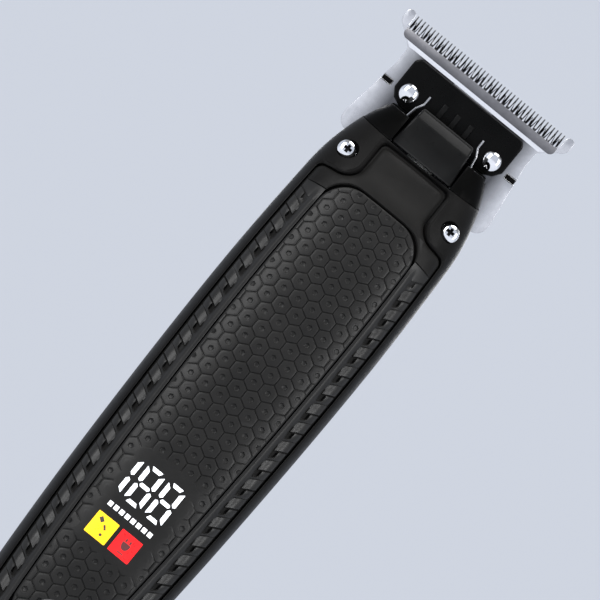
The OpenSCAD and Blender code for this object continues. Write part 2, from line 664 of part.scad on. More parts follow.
module fixed_blade() color([0.86, 0.87, 0.89]) at_blade() difference() {
  intersection() {
    slab(0, blade_t) fixed_outline();
    rotate([90, 0, 90]) translate([0, 0, -big / 2]) linear_extrude(big)
      polygon([[0, -blade_l - 1], [0, 1], [0.35, 1], [0.35, 0], [blade_t, -4.4], [blade_t, -blade_l - 1]]);
  }
  both_sides() {
    block([notch_in, 30], [-1, 5], notch_z);
    translate([guide_screw_x, 0, -12.9]) rod_y(0.9, -1, 5);
    translate([8, 0, -blade_screw_l]) {
      rod_y(shank_r + screw_gap, -1, 5);
      translate([0, blade_t - 1, 0]) rotate([-90, 0, 0])
        cylinder(r1 = shank_r + screw_gap, r2 = 2.1, h = 1 + eps);
    }
  }
}
cutter_half = blade_w / 2 - 2.1;
module moving_blade() color([0.55, 0.55, 0.57]) at_blade() {
  intersection() {
    slab(-cutter_t - blade_gap, -blade_gap) {
      teeth(cutter_pitch, cutter_half - 0.6, cutter_pitch * 0.85, 0.24, -3, -cutter_set);
      polygon([[-cutter_half, -3], [cutter_half, -3], [cutter_half, -4.1], [cutter_half - 0.8, -4.9],
        [cutter_half - 1.4, -4.9], [cutter_half - 2.6, -5.8], [-cutter_half + 2.6, -5.8],
        [-cutter_half + 1.4, -4.9], [-cutter_half + 0.8, -4.9], [-cutter_half, -4.1]]);
    }
    rotate([90, 0, 90]) translate([0, 0, -big / 2]) linear_extrude(big) polygon([[-blade_gap, 0],
      [-blade_gap - 0.25, -cutter_set], [-blade_gap - cutter_t, -3.4], [-blade_gap - cutter_t, -4.9],
      [-blade_gap - cutter_t + 0.25, -4.95], [-blade_gap - cutter_t + 0.25, -5.8], [-blade_gap, -5.8]]);
  }
  block([-tongue_half, tongue_half], [-blade_gap - 0.8, -blade_gap], [-tongue_l, -5.7]);
}
module blade_guide() color([0.05, 0.05, 0.06]) at_blade() difference() {
  union() {
    slab(-guide_t, 0) polygon(concat(
      [for (a = [0:15:90]) [guide_w / 2 - 1.6 * (1 - cos(a)), -guide_top - 1.6 * (1 - sin(a))]],
      [for (a = [90:15:180]) [-guide_w / 2 + 1.6 * (1 + cos(a)), -guide_top - 1.6 * (1 - sin(a))]],
      [[-guide_w / 2, -13.5], [-guide_w / 2 + 1.2, -15.2], [-guide_w / 2 + 3, -guide_low],
       [guide_w / 2 - 3, -guide_low], [guide_w / 2 - 1.2, -15.2], [guide_w / 2, -13.5]]));
    for (x = [-3.2, 0, 3.2]) block([x - 0.5, x + 0.5], [-guide_t - 0.35, -guide_t + 0.1], [-12.9, -10]);
  }
  block([-1, 1] * (tongue_half + throw + 0.3), [-blade_gap - 1.0, 1], [-big, -5]);
  block([-drive_half, drive_half], [-big, 1], [-big, -14.2]);
  both_sides() translate([guide_screw_x, 0, -12.9]) rod_y(0.9 + 0.1, -big, 5);
}
module guide_screws() color([0.85, 0.86, 0.88]) both_sides() at_blade() translate([guide_screw_x, 0, -12.9]) {
  rod_y(0.9, -guide_t - 0.1, blade_t);
  intersection() {
    translate([0, -guide_t + 1.7, 0]) sphere(r = 2.75);
    rod_y(2.2, -guide_t - 3, -guide_t);
  }
}
module blade_screws() color([0.8, 0.81, 0.83]) both_sides() at_blade() translate([8, 0, -blade_screw_l]) {
  rod_y(shank_r, -6, blade_t - 0.2);
  translate([0, blade_t - 0.95, 0]) rotate([-90, 0, 0]) cylinder(r1 = shank_r, r2 = 1.95, h = 0.9);
}
module comb_catches() color([0.05, 0.05, 0.05]) both_sides() at_blade()
  block([notch_in + 0.05, wing_top + 0.45], [-0.3, blade_t + 0.3], notch_z + [0.04, -0.04]);
module body_screws() color([0.85, 0.86, 0.88]) both_sides() translate([ear_x, 0, ear_z]) difference() {
  union() {
    rod_y(shank_r, ear_seat - 0.5, 3.2);
    rod_y(ear_head_r, ear_seat - 1.3, ear_seat);
  }
  for (a = [0, 90]) rotate([0, a, 0]) block([-1.15, 1.15], [ear_seat - 2, ear_seat - 0.6], [-0.35, 0.35]);
}

// ---- Leads ----
// The motor's leads run down beside the cell to the board
function lead_path(x, y0, z0, x1, z1) = [[x, y0, z0], [x, y0, z0 - 1.5], [x + 0.6 * sign(x), y0 - 0.8, z0 - 4],
  [x1, -5.9, z0 - 7.5], [x1, -6.2, z0 - 12], [x1, -6.2, (z0 + z1) / 2], [x1, -6.2, z1 + 2],
  [x1, -6.3, z1]];
module motor_leads() color([0.75, 0.1, 0.1]) both_sides()
  wire(lead_path(5.4, motor_y, motor_low - 3.3, 4.6, 56), 0.5);
module battery_leads() color([0.1, 0.1, 0.1]) both_sides() wire([[1.6, cell_y - 5.4, cell_z - 0.75],
  [1.7, cell_y - 6.8, cell_z - 1.0], [2.2, cell_y - 8.1, cell_z - 2.2], [2.6, -6.3, cell_z - 4.5],
  [2.8, -6.3, cell_z - 8]], 0.4);

front_cover();
rear_shell();
soft_grip();
grip_panel();
display_digits();
level_marks();
oil_icon();
plug_icon();
power_button();
switch_plunger();
tact_switch();
circuit_board();
display_module();
charging_socket();
socket_tongue();
battery_cell();
battery_tabs();
inner_frame();
board_screws();
motor_can();
motor_end_cap();
motor_magnets();
motor_rotor();
motor_shaft();
motor_bearings();
motor_terminals();
motor_bracket();
motor_screws();
eccentric_cam();
cam_pin();
shaft_seal();
head_frame();
spring_cover();
blade_springs();
fixed_blade();
moving_blade();
drive_follower();
blade_guide();
guide_screws();
blade_screws();
comb_catches();
body_screws();
motor_leads();
battery_leads();
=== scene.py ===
import json
from math import copysign, cos, pi, radians, sin, sqrt

import bmesh
import bpy
from mathutils import Matrix, Vector


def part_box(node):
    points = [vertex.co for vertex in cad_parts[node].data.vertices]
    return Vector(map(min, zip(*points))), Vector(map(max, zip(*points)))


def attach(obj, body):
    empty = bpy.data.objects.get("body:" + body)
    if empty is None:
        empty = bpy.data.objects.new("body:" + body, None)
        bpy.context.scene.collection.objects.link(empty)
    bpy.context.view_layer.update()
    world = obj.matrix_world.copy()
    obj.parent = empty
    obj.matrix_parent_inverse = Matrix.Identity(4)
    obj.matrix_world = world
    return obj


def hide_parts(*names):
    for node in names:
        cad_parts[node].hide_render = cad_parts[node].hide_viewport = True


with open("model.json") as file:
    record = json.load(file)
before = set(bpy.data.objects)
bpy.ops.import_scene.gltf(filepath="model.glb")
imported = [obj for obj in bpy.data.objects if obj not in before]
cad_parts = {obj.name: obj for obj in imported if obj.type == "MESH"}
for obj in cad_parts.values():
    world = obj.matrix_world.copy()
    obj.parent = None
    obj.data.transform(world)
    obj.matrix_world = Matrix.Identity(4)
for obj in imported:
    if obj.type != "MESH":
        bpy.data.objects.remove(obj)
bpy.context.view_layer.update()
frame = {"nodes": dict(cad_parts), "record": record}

# All modelling is in millimetres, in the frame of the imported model; finished meshes are in metres.
MM = 0.001
SCENE = bpy.context.scene


def box_mm(node):
    low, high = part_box(node)
    return low / MM, high / MM


# ---- Sizes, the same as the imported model's ----
OVERALL_H = 155.0
SQUARENESS = 2.6
PARTING_GAP = 0.02
WALL = 1.8
RIM_W = 2.0
STRIP_W = 4.6
CHIN_HALF = 8.0
EAR_R = 3.6
EAR_X = 12.6
EAR_Z = OVERALL_H - 32
BLADE_TILT = radians(20)
TIP_Y = -2.0
HEAD_L = 21.5
BLADE_T = 1.5
BLADE_L = 27.0
GUIDE_T = 2.6
GUIDE_LOW = 16.0
GUIDE_SCREW_X, GUIDE_SCREW_Z = 10.5, -12.9
BLADE_SCREW_X, BLADE_SCREW_Z = 8, -22.6
BLADE_GAP = 0.03
CUTTER_T = 1.1
CUTTER_SET = 1.2
PANEL_LOW, PANEL_TOP = box_mm("grip_panel")[0].z, box_mm("grip_panel")[1].z
GRIP_LOW = box_mm("soft_grip")[0].z - 0.12
GRIP_TOP = OVERALL_H - 37
CHIN_TOP = OVERALL_H - 26.4
BLADE_HALF = box_mm("fixed_blade")[1].x
CUTTER_HALF = BLADE_HALF - 2.1

BLADE = Matrix.Translation((0, TIP_Y, OVERALL_H)) @ Matrix.Rotation(BLADE_TILT, 4, "X")

# Height, half width, front depth, back depth
STATIONS = [
    (0, 11.3, 9.8, 9.8), (1.4, 12.7, 11.2, 11.2), (26, 15.1, 13.1, 13.4), (56, 16.8, 14, 14.57),
    (92, 17.7, 14, 14.2), (118, 17.2, 12.6, 12), (125, 16.45, 11.4, 11), (133, 14.3, 9.6, 9.6),
    (138, 12.15, 8, 8.6), (145, 9.7, 6.6, 7.6)]


def slope_at(i, k):
    if i == 1:
        return 0.12
    a, b = max(i - 1, 0), min(i + 1, len(STATIONS) - 1)
    return (STATIONS[b][k] - STATIONS[a][k]) / (STATIONS[b][0] - STATIONS[a][0])


def form(z, k):
    """Smooth curve through column k of the stations."""
    i = 0
    while i < len(STATIONS) - 2 and z > STATIONS[i + 1][0]:
        i += 1
    h = STATIONS[i + 1][0] - STATIONS[i][0]
    t = min(max((z - STATIONS[i][0]) / h, 0), 1)
    a, b = STATIONS[i][k], STATIONS[i + 1][k]
    if i == 0:
        return a + (b - a) * sqrt(1 - (1 - t) ** 2)
    end = (STATIONS[min(i + 2, len(STATIONS) - 1)][k] - a) / (
        STATIONS[min(i + 2, len(STATIONS) - 1)][0] - STATIONS[i][0])
    return ((2 * t ** 3 - 3 * t ** 2 + 1) * a + (t ** 3 - 2 * t ** 2 + t) * h * slope_at(i, k)
            + (3 * t ** 2 - 2 * t ** 3) * b + (t ** 3 - t ** 2) * h * end)


def half_w(z):
    return form(z, 1)


def front_y(x, z):
    """Y of the casing's front surface above a point of the X-Z plane."""
    t = min(abs(x) / form(z, 1), 1)
    return -form(z, 2) * (1 - t ** SQUARENESS) ** (1 / SQUARENESS)


def ease(a, b, x):
    t = min(max((x - a) / (b - a), 0), 1)
    return t * t * (3 - 2 * t)


# ---- Mesh helpers ----
def finished(bm, name, body, slot, nodes=(), angle=35, finishes=None, wall=0.0):
    """Makes a bmesh in millimetres into a piece that rides on a body."""
    bmesh.ops.scale(bm, vec=(MM, MM, MM), verts=bm.verts)
    mesh = bpy.data.meshes.new(name)
    bm.to_mesh(mesh)
    bm.free()
    mesh.shade_smooth()
    mesh.set_sharp_from_angle(angle=radians(angle))
    piece = bpy.data.objects.new(name, mesh)
    SCENE.collection.objects.link(piece)
    for finish in finishes or [slot]:
        mesh.materials.append(finish_of(finish))
    if wall:
        thick = piece.modifiers.new("wall", "SOLIDIFY")
        thick.thickness = wall * MM
        thick.offset = -1
    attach(piece, body)
    if nodes:
        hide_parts(*nodes)


def loose_object(bm):
    mesh = bpy.data.meshes.new("tool")
    bm.to_mesh(mesh)
    bm.free()
    tool = bpy.data.objects.new("tool", mesh)
    SCENE.collection.objects.link(tool)
    return tool


def carved(body, tool, operation="DIFFERENCE"):
    """Boolean of two closed bmeshes, as a new bmesh."""
    pair = [loose_object(body), loose_object(tool)]
    cut = pair[0].modifiers.new("cut", "BOOLEAN")
    cut.operation = operation
    cut.solver = "EXACT"
    cut.object = pair[1]
    result = bmesh.new()
    seen = pair[0].evaluated_get(bpy.context.evaluated_depsgraph_get())
    result.from_mesh(seen.to_mesh())
    seen.to_mesh_clear()
    for one in pair:
        mesh = one.data
        bpy.data.objects.remove(one)
        bpy.data.meshes.remove(mesh)
    return result


def merged(*parts):
    """Joins bmeshes into one; the parts are used up."""
    whole = bmesh.new()
    for part in parts:
        mesh = bpy.data.meshes.new("part")
        part.to_mesh(mesh)
        part.free()
        whole.from_mesh(mesh)
        bpy.data.meshes.remove(mesh)
    return whole


def outward(bm):
    bmesh.ops.recalc_face_normals(bm, faces=bm.faces)
    return bm


def moved(bm, matrix):
    bmesh.ops.transform(bm, matrix=matrix, verts=bm.verts)
    return bm


def mirrored(bm):
    """The part and its mirror image in X."""
    other = bm.copy()
    bmesh.ops.scale(other, vec=(-1, 1, 1), verts=other.verts)
    bmesh.ops.reverse_faces(other, faces=other.faces)
    return merged(bm, other)


def bevelled(bm, edges, width, segments):
    bmesh.ops.bevel(bm, geom=edges, offset=width, offset_type="OFFSET", affect="EDGES",
                    segments=segments, profile=0.5, material=-1, clamp_overlap=True)
    return bm


def rounded(bm, width, segments=2, sharper_than=30):
    """Bevels every edge that is sharper than an angle."""
    return bevelled(bm, [e for e in bm.edges if len(e.link_faces) == 2
                         and e.calc_face_angle(0) > radians(sharper_than)], width, segments)


def sliced(bm, place, normal, clear=False, dist=1e-4):
    """Cuts the mesh with a plane, and can clear the side that the normal points to."""
    return bmesh.ops.bisect_plane(bm, geom=bm.verts[:] + bm.edges[:] + bm.faces[:], dist=dist,
                                  clear_outer=clear, plane_co=place, plane_no=normal)["geom_cut"]


def verts_in(geom):
    return [g for g in geom if isinstance(g, bmesh.types.BMVert)]


def block(x, y, z, edge=0.0, segments=2):
    bm = bmesh.new()
    bmesh.ops.create_cube(bm, size=1)
    bmesh.ops.scale(bm, vec=(x[1] - x[0], y[1] - y[0], z[1] - z[0]), verts=bm.verts)
    bmesh.ops.translate(bm, vec=((x[0] + x[1]) / 2, (y[0] + y[1]) / 2, (z[0] + z[1]) / 2), verts=bm.verts)
    return rounded(bm, edge, segments) if edge else bm


def plate(points, y0, y1, edge=0.0, segments=2):
    """A flat outline in X and Z, filled from y0 to y1."""
    bm = bmesh.new()
    face = bm.faces.new([bm.verts.new((x, y0, z)) for x, z in points])
    grown = bmesh.ops.extrude_face_region(bm, geom=[face])["geom"]
    bmesh.ops.translate(bm, vec=(0, y1 - y0, 0), verts=verts_in(grown))
    outward(bm)
    return rounded(bm, edge, segments) if edge else bm


def turned(profile, steps=40):
    """A profile of (radius, height) points spun about Z, closed at the axis."""
    bm = bmesh.new()
    line = [bm.verts.new((r, 0, z)) for r, z in profile]
    edges = [bm.edges.new(pair) for pair in zip(line, line[1:])]
    bmesh.ops.spin(bm, geom=line + edges, cent=(0, 0, 0), axis=(0, 0, 1), angle=2 * pi, steps=steps,
                   use_merge=True)
    bmesh.ops.remove_doubles(bm, verts=bm.verts, dist=1e-4)
    return outward(bm)


FACING_FRONT = Matrix.Rotation(radians(90), 4, "X")
FACING_BACK = Matrix.Rotation(radians(-90), 4, "X")


def at(x, y, z, turn=None):
    place = Matrix.Translation((x, y, z))
    return place @ turn if turn else place


def ring_of(bm, points, depth):
    """A closed loop of edges through (x, z) points at one depth."""
    verts = [bm.verts.new((x, depth(x, z) if callable(depth) else depth, z)) for x, z in points]
    return [bm.edges.new((verts[i - 1], verts[i])) for i in range(len(verts))]


def gridded(bm, x_step, z_step, z_extra=()):
    """Cuts the mesh with planes so that it can follow a curved surface."""
    low = [min(v.co[k] for v in bm.verts) for k in range(3)]
    high = [max(v.co[k] for v in bm.verts) for k in range(3)]
    count = max(int((high[0] - low[0]) / x_step), 1)
    cuts = [((low[0] + (high[0] - low[0]) * i / count, 0, 0), (1, 0, 0)) for i in range(1, count)]
    rows = max(int((high[2] - low[2]) / z_step), 1)
    heights = [low[2] + (high[2] - low[2]) * i / rows for i in range(1, rows)] + list(z_extra)
    cuts += [((0, 0, z), (0, 0, 1)) for z in heights]
    for place, normal in cuts:
        sliced(bm, place, normal, dist=1e-3)
    return bm


def bridged(bm, rings, x_step, z_step, z_extra=()):
    """Joins each loop to the next, closes both ends and cuts the slab into a grid."""
    for lower, upper in zip(rings, rings[1:]):
        bmesh.ops.bridge_loops(bm, edges=lower + upper)
    for ring in (rings[0], rings[-1]):
        bmesh.ops.triangle_fill(bm, edges=ring, use_beauty=True)
    return outward(gridded(bm, x_step, z_step, z_extra))


def stepped_slab(outline, steps, x_step=1.5, z_step=2.5, z_extra=()):
    """A flat slab whose edge goes through (gap, depth) steps; Y holds the depth below the casing."""
    bm = bmesh.new()
    rings = [ring_of(bm, outline(gap), depth) for gap, depth in steps]
    return bridged(bm, rings, x_step, z_step, z_extra)


def laid_on_casing(bm, relief=None):
    """Moves depths in Y on to the casing's front surface."""
    for v in bm.verts:
        extra = relief(v.co.x, v.co.z, v.co.y) if relief else 0.0
        v.co.y = front_y(v.co.x, v.co.z) + v.co.y + extra
    return bm


# ---- Outlines on the front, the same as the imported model's ----
def capped(z, inset, lo, hi, r_lo, r_hi):
    if z < lo + r_lo:
        t, r = 1 - (z - lo) / r_lo, r_lo
    elif z > hi - r_hi:
        t, r = 1 - (hi - z) / r_hi, r_hi
    else:
        t, r = 0, 0
    return half_w(z) - inset - r * (1 - sqrt(max(0, 1 - t * t)))


def cap_heights(lo, hi, r_lo, r_hi, middle=24, turn=7.5):
    bends = [radians(turn * k) for k in range(int(90 / turn))]
    return ([lo + r_lo * (1 - cos(a)) for a in bends] + [lo + r_lo]
            + [lo + r_lo + (hi - r_hi - lo - r_lo) * k / middle for k in range(1, middle)]
            + [hi - r_hi] + [hi - r_hi * (1 - cos(a)) for a in reversed(bends)])


def both_halves(right):
    return right + [(-x, z) for x, z in reversed(right) if abs(x) > 1e-6]


def panel_outline(gap=0.0):
    lo, hi, inset = PANEL_LOW + gap, PANEL_TOP - gap, RIM_W + STRIP_W + gap
    return both_halves([(capped(z, inset, lo, hi, 6.5, 5.5), z) for z in cap_heights(lo, hi, 6.5, 5.5)])


def grip_outline(gap=0.0):
    lo, top, inset = GRIP_LOW + gap, GRIP_TOP - gap, RIM_W + gap
    half, r = CHIN_HALF - gap, EAR_R + gap
    side = [(capped(z, inset, lo, top, 7, 1.2), z) for z in cap_heights(lo, top, 7, 1.2)]
    ear = [(half + r - r * sin(radians(a)), top + r - r * cos(radians(a))) for a in range(0, 91, 9)]
    corner = [(half - 1 + cos(radians(a)), CHIN_TOP - gap - 1 + sin(radians(a))) for a in range(0, 91, 15)]
    return both_halves(side + ear + corner)


def inside_panel(x, z, edges):
    """Distance in from the panel's edge, and the direction of the nearest edge."""
    best, out = 1e9, None
    for (px, pz), (nx, nz) in edges:
        d = (px - x) * nx + (pz - z) * nz
        if d < best:
            best, out = d, (nx, nz)
    return best, out


# ---- Materials ----
def shader(name):
    material = bpy.data.materials.new(name)
    material.use_nodes = True
    tree = material.node_tree
    return material, tree, tree.nodes["Principled BSDF"]


def linked(tree, kind, inputs=None, **settings):
    """Adds a node, sets its properties, and fills or links its inputs."""
    node = tree.nodes.new(kind)
    for key, value in settings.items():
        setattr(node, key, value)
    for key, value in (inputs or {}).items():
        if isinstance(value, bpy.types.NodeSocket):
            tree.links.new(value, node.inputs[key])
        else:
            node.inputs[key].default_value = value
    return node


def noise(tree, where, scale, detail=3.0, roughness=0.5):
    return linked(tree, "ShaderNodeTexNoise", {"Vector": where, "Scale": scale, "Detail": detail,
                                               "Roughness": roughness}).outputs[0]


def spread(tree, value, low, high, start=0.3, stop=0.7):
    return linked(tree, "ShaderNodeMapRange", {"Value": value, "From Min": start, "From Max": stop,
                                               "To Min": low, "To Max": high}).outputs[0]


def shade_mix(tree, factor, first, second):
    node = linked(tree, "ShaderNodeMix", data_type="RGBA")
    tree.links.new(factor, node.inputs[0])
    for socket, value in ((node.inputs[6], first), (node.inputs[7], second)):
        if isinstance(value, bpy.types.NodeSocket):
            tree.links.new(value, socket)
        else:
            socket.default_value = (*value, 1.0)
    return node.outputs[2]


def sharp_edge_mask(tree, low=0.53, high=0.6):
    """0 on flats, 1 on sharp outer edges."""
    point = linked(tree, "ShaderNodeNewGeometry").outputs["Pointiness"]
    return spread(tree, point, 0.0, 1.0, low, high)


def surface(name, dark, light, rough, grain, bump, metal=0.0, specular=0.5, stretch=(1, 1, 1),
            edge_wear_and_light=(0.0, None), glow=0.0, broad=180.0, across=None):
    """A finish with colour variation, roughness variation, a fine relief and a second colour on sharp edges, which
    is wear on most finishes, a painted highlight on the spring block and painted shade on the blade; across paints a
    shade tone towards the middle in X.
    """
    material, tree, base = shader(name)
    links = tree.links
    place = linked(tree, "ShaderNodeTexCoord").outputs["Object"]
    if stretch != (1, 1, 1):
        place = linked(tree, "ShaderNodeMapping", {"Vector": place, "Scale": stretch}).outputs[0]
    clouds = noise(tree, place, broad, 4.0, 0.6)
    fine = noise(tree, place, grain, 2.0, 0.6)
    colour = shade_mix(tree, spread(tree, clouds, 0.0, 1.0), dark, light)
    roughness = spread(tree, noise(tree, place, broad * 3, 5.0, 0.65), rough[0], rough[1])
    # Painted shade: across darkens the colour to a shade tone towards the middle in X.
    if across:
        near, far, shade = across
        width = linked(tree, "ShaderNodeSeparateXYZ", {0: place}).outputs[0]
        out = linked(tree, "ShaderNodeMath", {0: width}, operation="ABSOLUTE").outputs[0]
        colour = shade_mix(tree, spread(tree, out, 0.0, 1.0, near * MM, far * MM), shade, colour)
    # Sharp edges take a second colour: wear on most finishes, a painted highlight on the spring block, painted shade
    # on the blade.
    if edge_wear_and_light[1]:
        edge = linked(tree, "ShaderNodeMath", {0: sharp_edge_mask(tree), 1: edge_wear_and_light[0]}, operation="MULTIPLY").outputs[0]
        colour = shade_mix(tree, edge, colour, edge_wear_and_light[1])
    links.new(colour, base.inputs["Base Color"])
    links.new(roughness, base.inputs["Roughness"])
    relief = linked(tree, "ShaderNodeBump", {"Height": fine, "Distance": bump * MM, "Strength": 0.6})
    links.new(relief.outputs[0], base.inputs["Normal"])
    base.inputs["Metallic"].default_value = metal
    base.inputs["Specular IOR Level"].default_value = specular
    if glow:
        links.new(colour, base.inputs["Emission Color"])
        base.inputs["Emission Strength"].default_value = glow
    return material


def casing_black():
    return surface("casing_black", (0.0052, 0.005, 0.0048), (0.0075, 0.0072, 0.0069), (0.34, 0.44), 5200, 0.035,
                   specular=0.035, edge_wear_and_light=(0.2, (0.025, 0.025, 0.024)))


def rear_black():
    return surface("rear_black", (0.0062, 0.006, 0.0056), (0.009, 0.0086, 0.008), (0.4, 0.5), 4200, 0.05,
                   specular=0.1, edge_wear_and_light=(0.3, (0.035, 0.035, 0.034)))


def soft_touch_black():
    return surface("soft_touch_black", (0.0062, 0.006, 0.0057), (0.009, 0.0086, 0.008), (0.4, 0.5), 6500, 0.03,
                   specular=0.06, edge_wear_and_light=(0.3, (0.04, 0.04, 0.039)))


def rib_black():
    return surface("rib_black", (0.0085, 0.0082, 0.0077), (0.012, 0.0115, 0.0108), (0.34, 0.43), 6500, 0.02,
                   specular=0.2, edge_wear_and_light=(0.3, (0.04, 0.04, 0.039)))


# The spring block's sharp edges get a light grey: a painted highlight along its bevels.
def block_black():
    return surface("block_black", (0.004, 0.004, 0.004), (0.006, 0.006, 0.0058), (0.26, 0.34), 5200, 0.015,
                   specular=0.07, edge_wear_and_light=(0.5, (0.12, 0.12, 0.12)))


def panel_black():
    return surface("panel_black", (0.0085, 0.0082, 0.0077), (0.0115, 0.011, 0.0103), (0.34, 0.43), 7000, 0.015,
                   specular=0.15, edge_wear_and_light=(0.2, (0.035, 0.035, 0.034)))


def head_black():
    return surface("head_black", (0.0014, 0.0014, 0.0014), (0.0024, 0.0024, 0.0023), (0.28, 0.36), 5200, 0.02,
                   specular=0.012, edge_wear_and_light=(0.12, (0.02, 0.02, 0.02)))


def guide_black():
    return surface("guide_black", (0.0012, 0.0012, 0.0012), (0.0022, 0.0022, 0.0021), (0.22, 0.3), 3800, 0.012,
                   specular=0.06, edge_wear_and_light=(0.25, (0.03, 0.03, 0.03)))


def button_black():
    return surface("button_black", (0.014, 0.014, 0.015), (0.02, 0.02, 0.0215), (0.4, 0.5), 5200, 0.03,
                   edge_wear_and_light=(0.35, (0.07, 0.07, 0.072)))


def lit_white():
    return surface("lit_white", (0.86, 0.88, 0.9), (0.95, 0.96, 0.98), (0.25, 0.35), 3000, 0.004, glow=0.62)


def lit_yellow():
    return surface("lit_yellow", (0.9, 0.5, 0.004), (0.98, 0.58, 0.008), (0.25, 0.35), 3000, 0.004, glow=0.5)


def lit_red():
    return surface("lit_red", (0.72, 0.003, 0.004), (0.85, 0.005, 0.006), (0.25, 0.35), 3000, 0.004, glow=0.6)


def glyph_dark():
    return surface("glyph_dark", (0.03, 0.022, 0.018), (0.05, 0.035, 0.03), (0.4, 0.5), 3000, 0.004)


def glyph_maroon():
    return surface("glyph_maroon", (0.07, 0.012, 0.012), (0.1, 0.018, 0.017), (0.4, 0.5), 3000, 0.004)


# Painted shade: the steel darkens to a shade tone towards the guide in X, and its sharp edges darken to a dark
# outline.
def blade_steel():
    return surface("blade_steel", (0.6, 0.6, 0.62), (0.72, 0.72, 0.74), (0.16, 0.26), 900, 0.006, metal=1.0,
                   edge_wear_and_light=(0.5, (0.12, 0.12, 0.13)), broad=500.0, across=(12.6, 17.0, (0.1, 0.1, 0.105)))


# Mid-dark steel on the comb's tips: painted shade, lighter than the painted shadow on the roots.
def tip_shade_steel():
    return surface("tip_shade_steel", (0.1, 0.1, 0.105), (0.17, 0.17, 0.176), (0.3, 0.42), 2600, 0.01, metal=1.0)


# Near-black steel: painted shadow on the comb's roots and on the cutter teeth's sides.
def tooth_shadow_steel():
    return surface("tooth_shadow_steel", (0.008, 0.008, 0.009), (0.02, 0.02, 0.021), (0.3, 0.42), 2600, 0.01, metal=1.0)


# Near-black steel inside the cross recesses: painted shadow.
def recess_shadow():
    return surface("recess_shadow", (0.01, 0.01, 0.011), (0.025, 0.025, 0.026), (0.5, 0.6), 2600, 0.01, metal=1.0)


def cutter_steel():
    return surface("cutter_steel", (0.09, 0.088, 0.095), (0.14, 0.137, 0.145), (0.38, 0.5), 2600, 0.02, metal=1.0,
                   edge_wear_and_light=(0.3, (0.6, 0.6, 0.62)), broad=400.0)


# Ground steel painted near white: a painted highlight on the cutter's bevel band and on its teeth's front faces.
def ground_highlight_steel():
    return surface("ground_highlight_steel", (0.8, 0.8, 0.82), (0.92, 0.92, 0.94), (0.16, 0.26), 1500, 0.005, metal=1.0,
                   stretch=(0.3, 5.0, 5.0), broad=120.0)


def screw_chrome():
    return surface("screw_chrome", (0.82, 0.83, 0.85), (0.93, 0.93, 0.95), (0.05, 0.1), 1800, 0.003, metal=1.0,
                   edge_wear_and_light=(0.3, (0.97, 0.97, 0.98)), broad=600.0)


def spring_steel():
    return surface("spring_steel", (0.3, 0.3, 0.31), (0.42, 0.42, 0.43), (0.18, 0.28), 2500, 0.004, metal=1.0)


def white_nylon():
    return surface("white_nylon", (0.7, 0.7, 0.66), (0.8, 0.8, 0.76), (0.38, 0.5), 2200, 0.02,
                   edge_wear_and_light=(0.3, (0.85, 0.85, 0.82)))


def frame_grey():
    return surface("frame_grey", (0.05, 0.05, 0.054), (0.075, 0.075, 0.08), (0.45, 0.55), 3600, 0.04,
                   edge_wear_and_light=(0.3, (0.14, 0.14, 0.145)))


def board_green():
    return surface("board_green", (0.008, 0.09, 0.035), (0.014, 0.13, 0.05), (0.25, 0.35), 1400, 0.02,
                   edge_wear_and_light=(0.3, (0.05, 0.2, 0.1)), broad=900.0)


def motor_zinc():
    return surface("motor_zinc", (0.5, 0.51, 0.53), (0.66, 0.67, 0.69), (0.24, 0.36), 1500, 0.01, metal=1.0,
                   edge_wear_and_light=(0.3, (0.8, 0.8, 0.82)))


def magnet_dark():
    return surface("magnet_dark", (0.03, 0.03, 0.034), (0.05, 0.05, 0.055), (0.5, 0.6), 1800, 0.03, metal=0.6)


def rotor_copper():
    return surface("rotor_copper", (0.42, 0.17, 0.07), (0.6, 0.28, 0.13), (0.25, 0.35), 900, 0.05, metal=1.0,
                   stretch=(1, 1, 8))


def bearing_bronze():
    return surface("bearing_bronze", (0.45, 0.28, 0.1), (0.6, 0.4, 0.17), (0.3, 0.42), 2400, 0.02, metal=1.0)


def cell_sleeve():
    return surface("cell_sleeve", (0.02, 0.08, 0.3), (0.03, 0.11, 0.38), (0.22, 0.32), 700, 0.02,
                   edge_wear_and_light=(0.3, (0.1, 0.2, 0.5)))


def nickel_strip():
    return surface("nickel_strip", (0.55, 0.54, 0.49), (0.7, 0.69, 0.64), (0.25, 0.35), 1700, 0.01, metal=1.0)


def red_lead():
    return surface("red_lead", (0.45, 0.015, 0.015), (0.58, 0.03, 0.03), (0.38, 0.48), 2000, 0.015)


def black_lead():
    return surface("black_lead", (0.014, 0.014, 0.015), (0.022, 0.022, 0.024), (0.38, 0.48), 2000, 0.015)


def seal_rubber():
    return surface("seal_rubber", (0.012, 0.012, 0.013), (0.02, 0.02, 0.022), (0.55, 0.65), 2600, 0.03)


def plunger_red():
    return surface("plunger_red", (0.42, 0.02, 0.015), (0.55, 0.035, 0.03), (0.35, 0.45), 2600, 0.015)


FINISHES = {
    "casing_black": casing_black, "rear_black": rear_black, "soft_grip": soft_touch_black,
    "panel_black": panel_black, "head_black": head_black, "guide_black": guide_black,
    "light_white": lit_white, "light_yellow": lit_yellow, "light_red": lit_red, "button_black": button_black,
    "blade_steel": blade_steel, "cutter_steel": cutter_steel, "screw_chrome": screw_chrome,
    "spring_steel": spring_steel, "white_nylon": white_nylon, "frame_grey": frame_grey,
    "board_green": board_green, "motor_zinc": motor_zinc, "magnet_dark": magnet_dark,
    "rotor_copper": rotor_copper, "bearing_bronze": bearing_bronze, "cell_sleeve": cell_sleeve,
    "nickel": nickel_strip, "red_wire": red_lead, "black_wire": black_lead, "seal_rubber": seal_rubber,
    "plunger_red": plunger_red, "rib_black": rib_black, "block_black": block_black, "glyph_dark": glyph_dark,
    "glyph_maroon": glyph_maroon, "tooth_shadow_steel": tooth_shadow_steel, "tip_shade_steel": tip_shade_steel,
    "ground_highlight_steel": ground_highlight_steel, "recess_shadow": recess_shadow}
made = {}


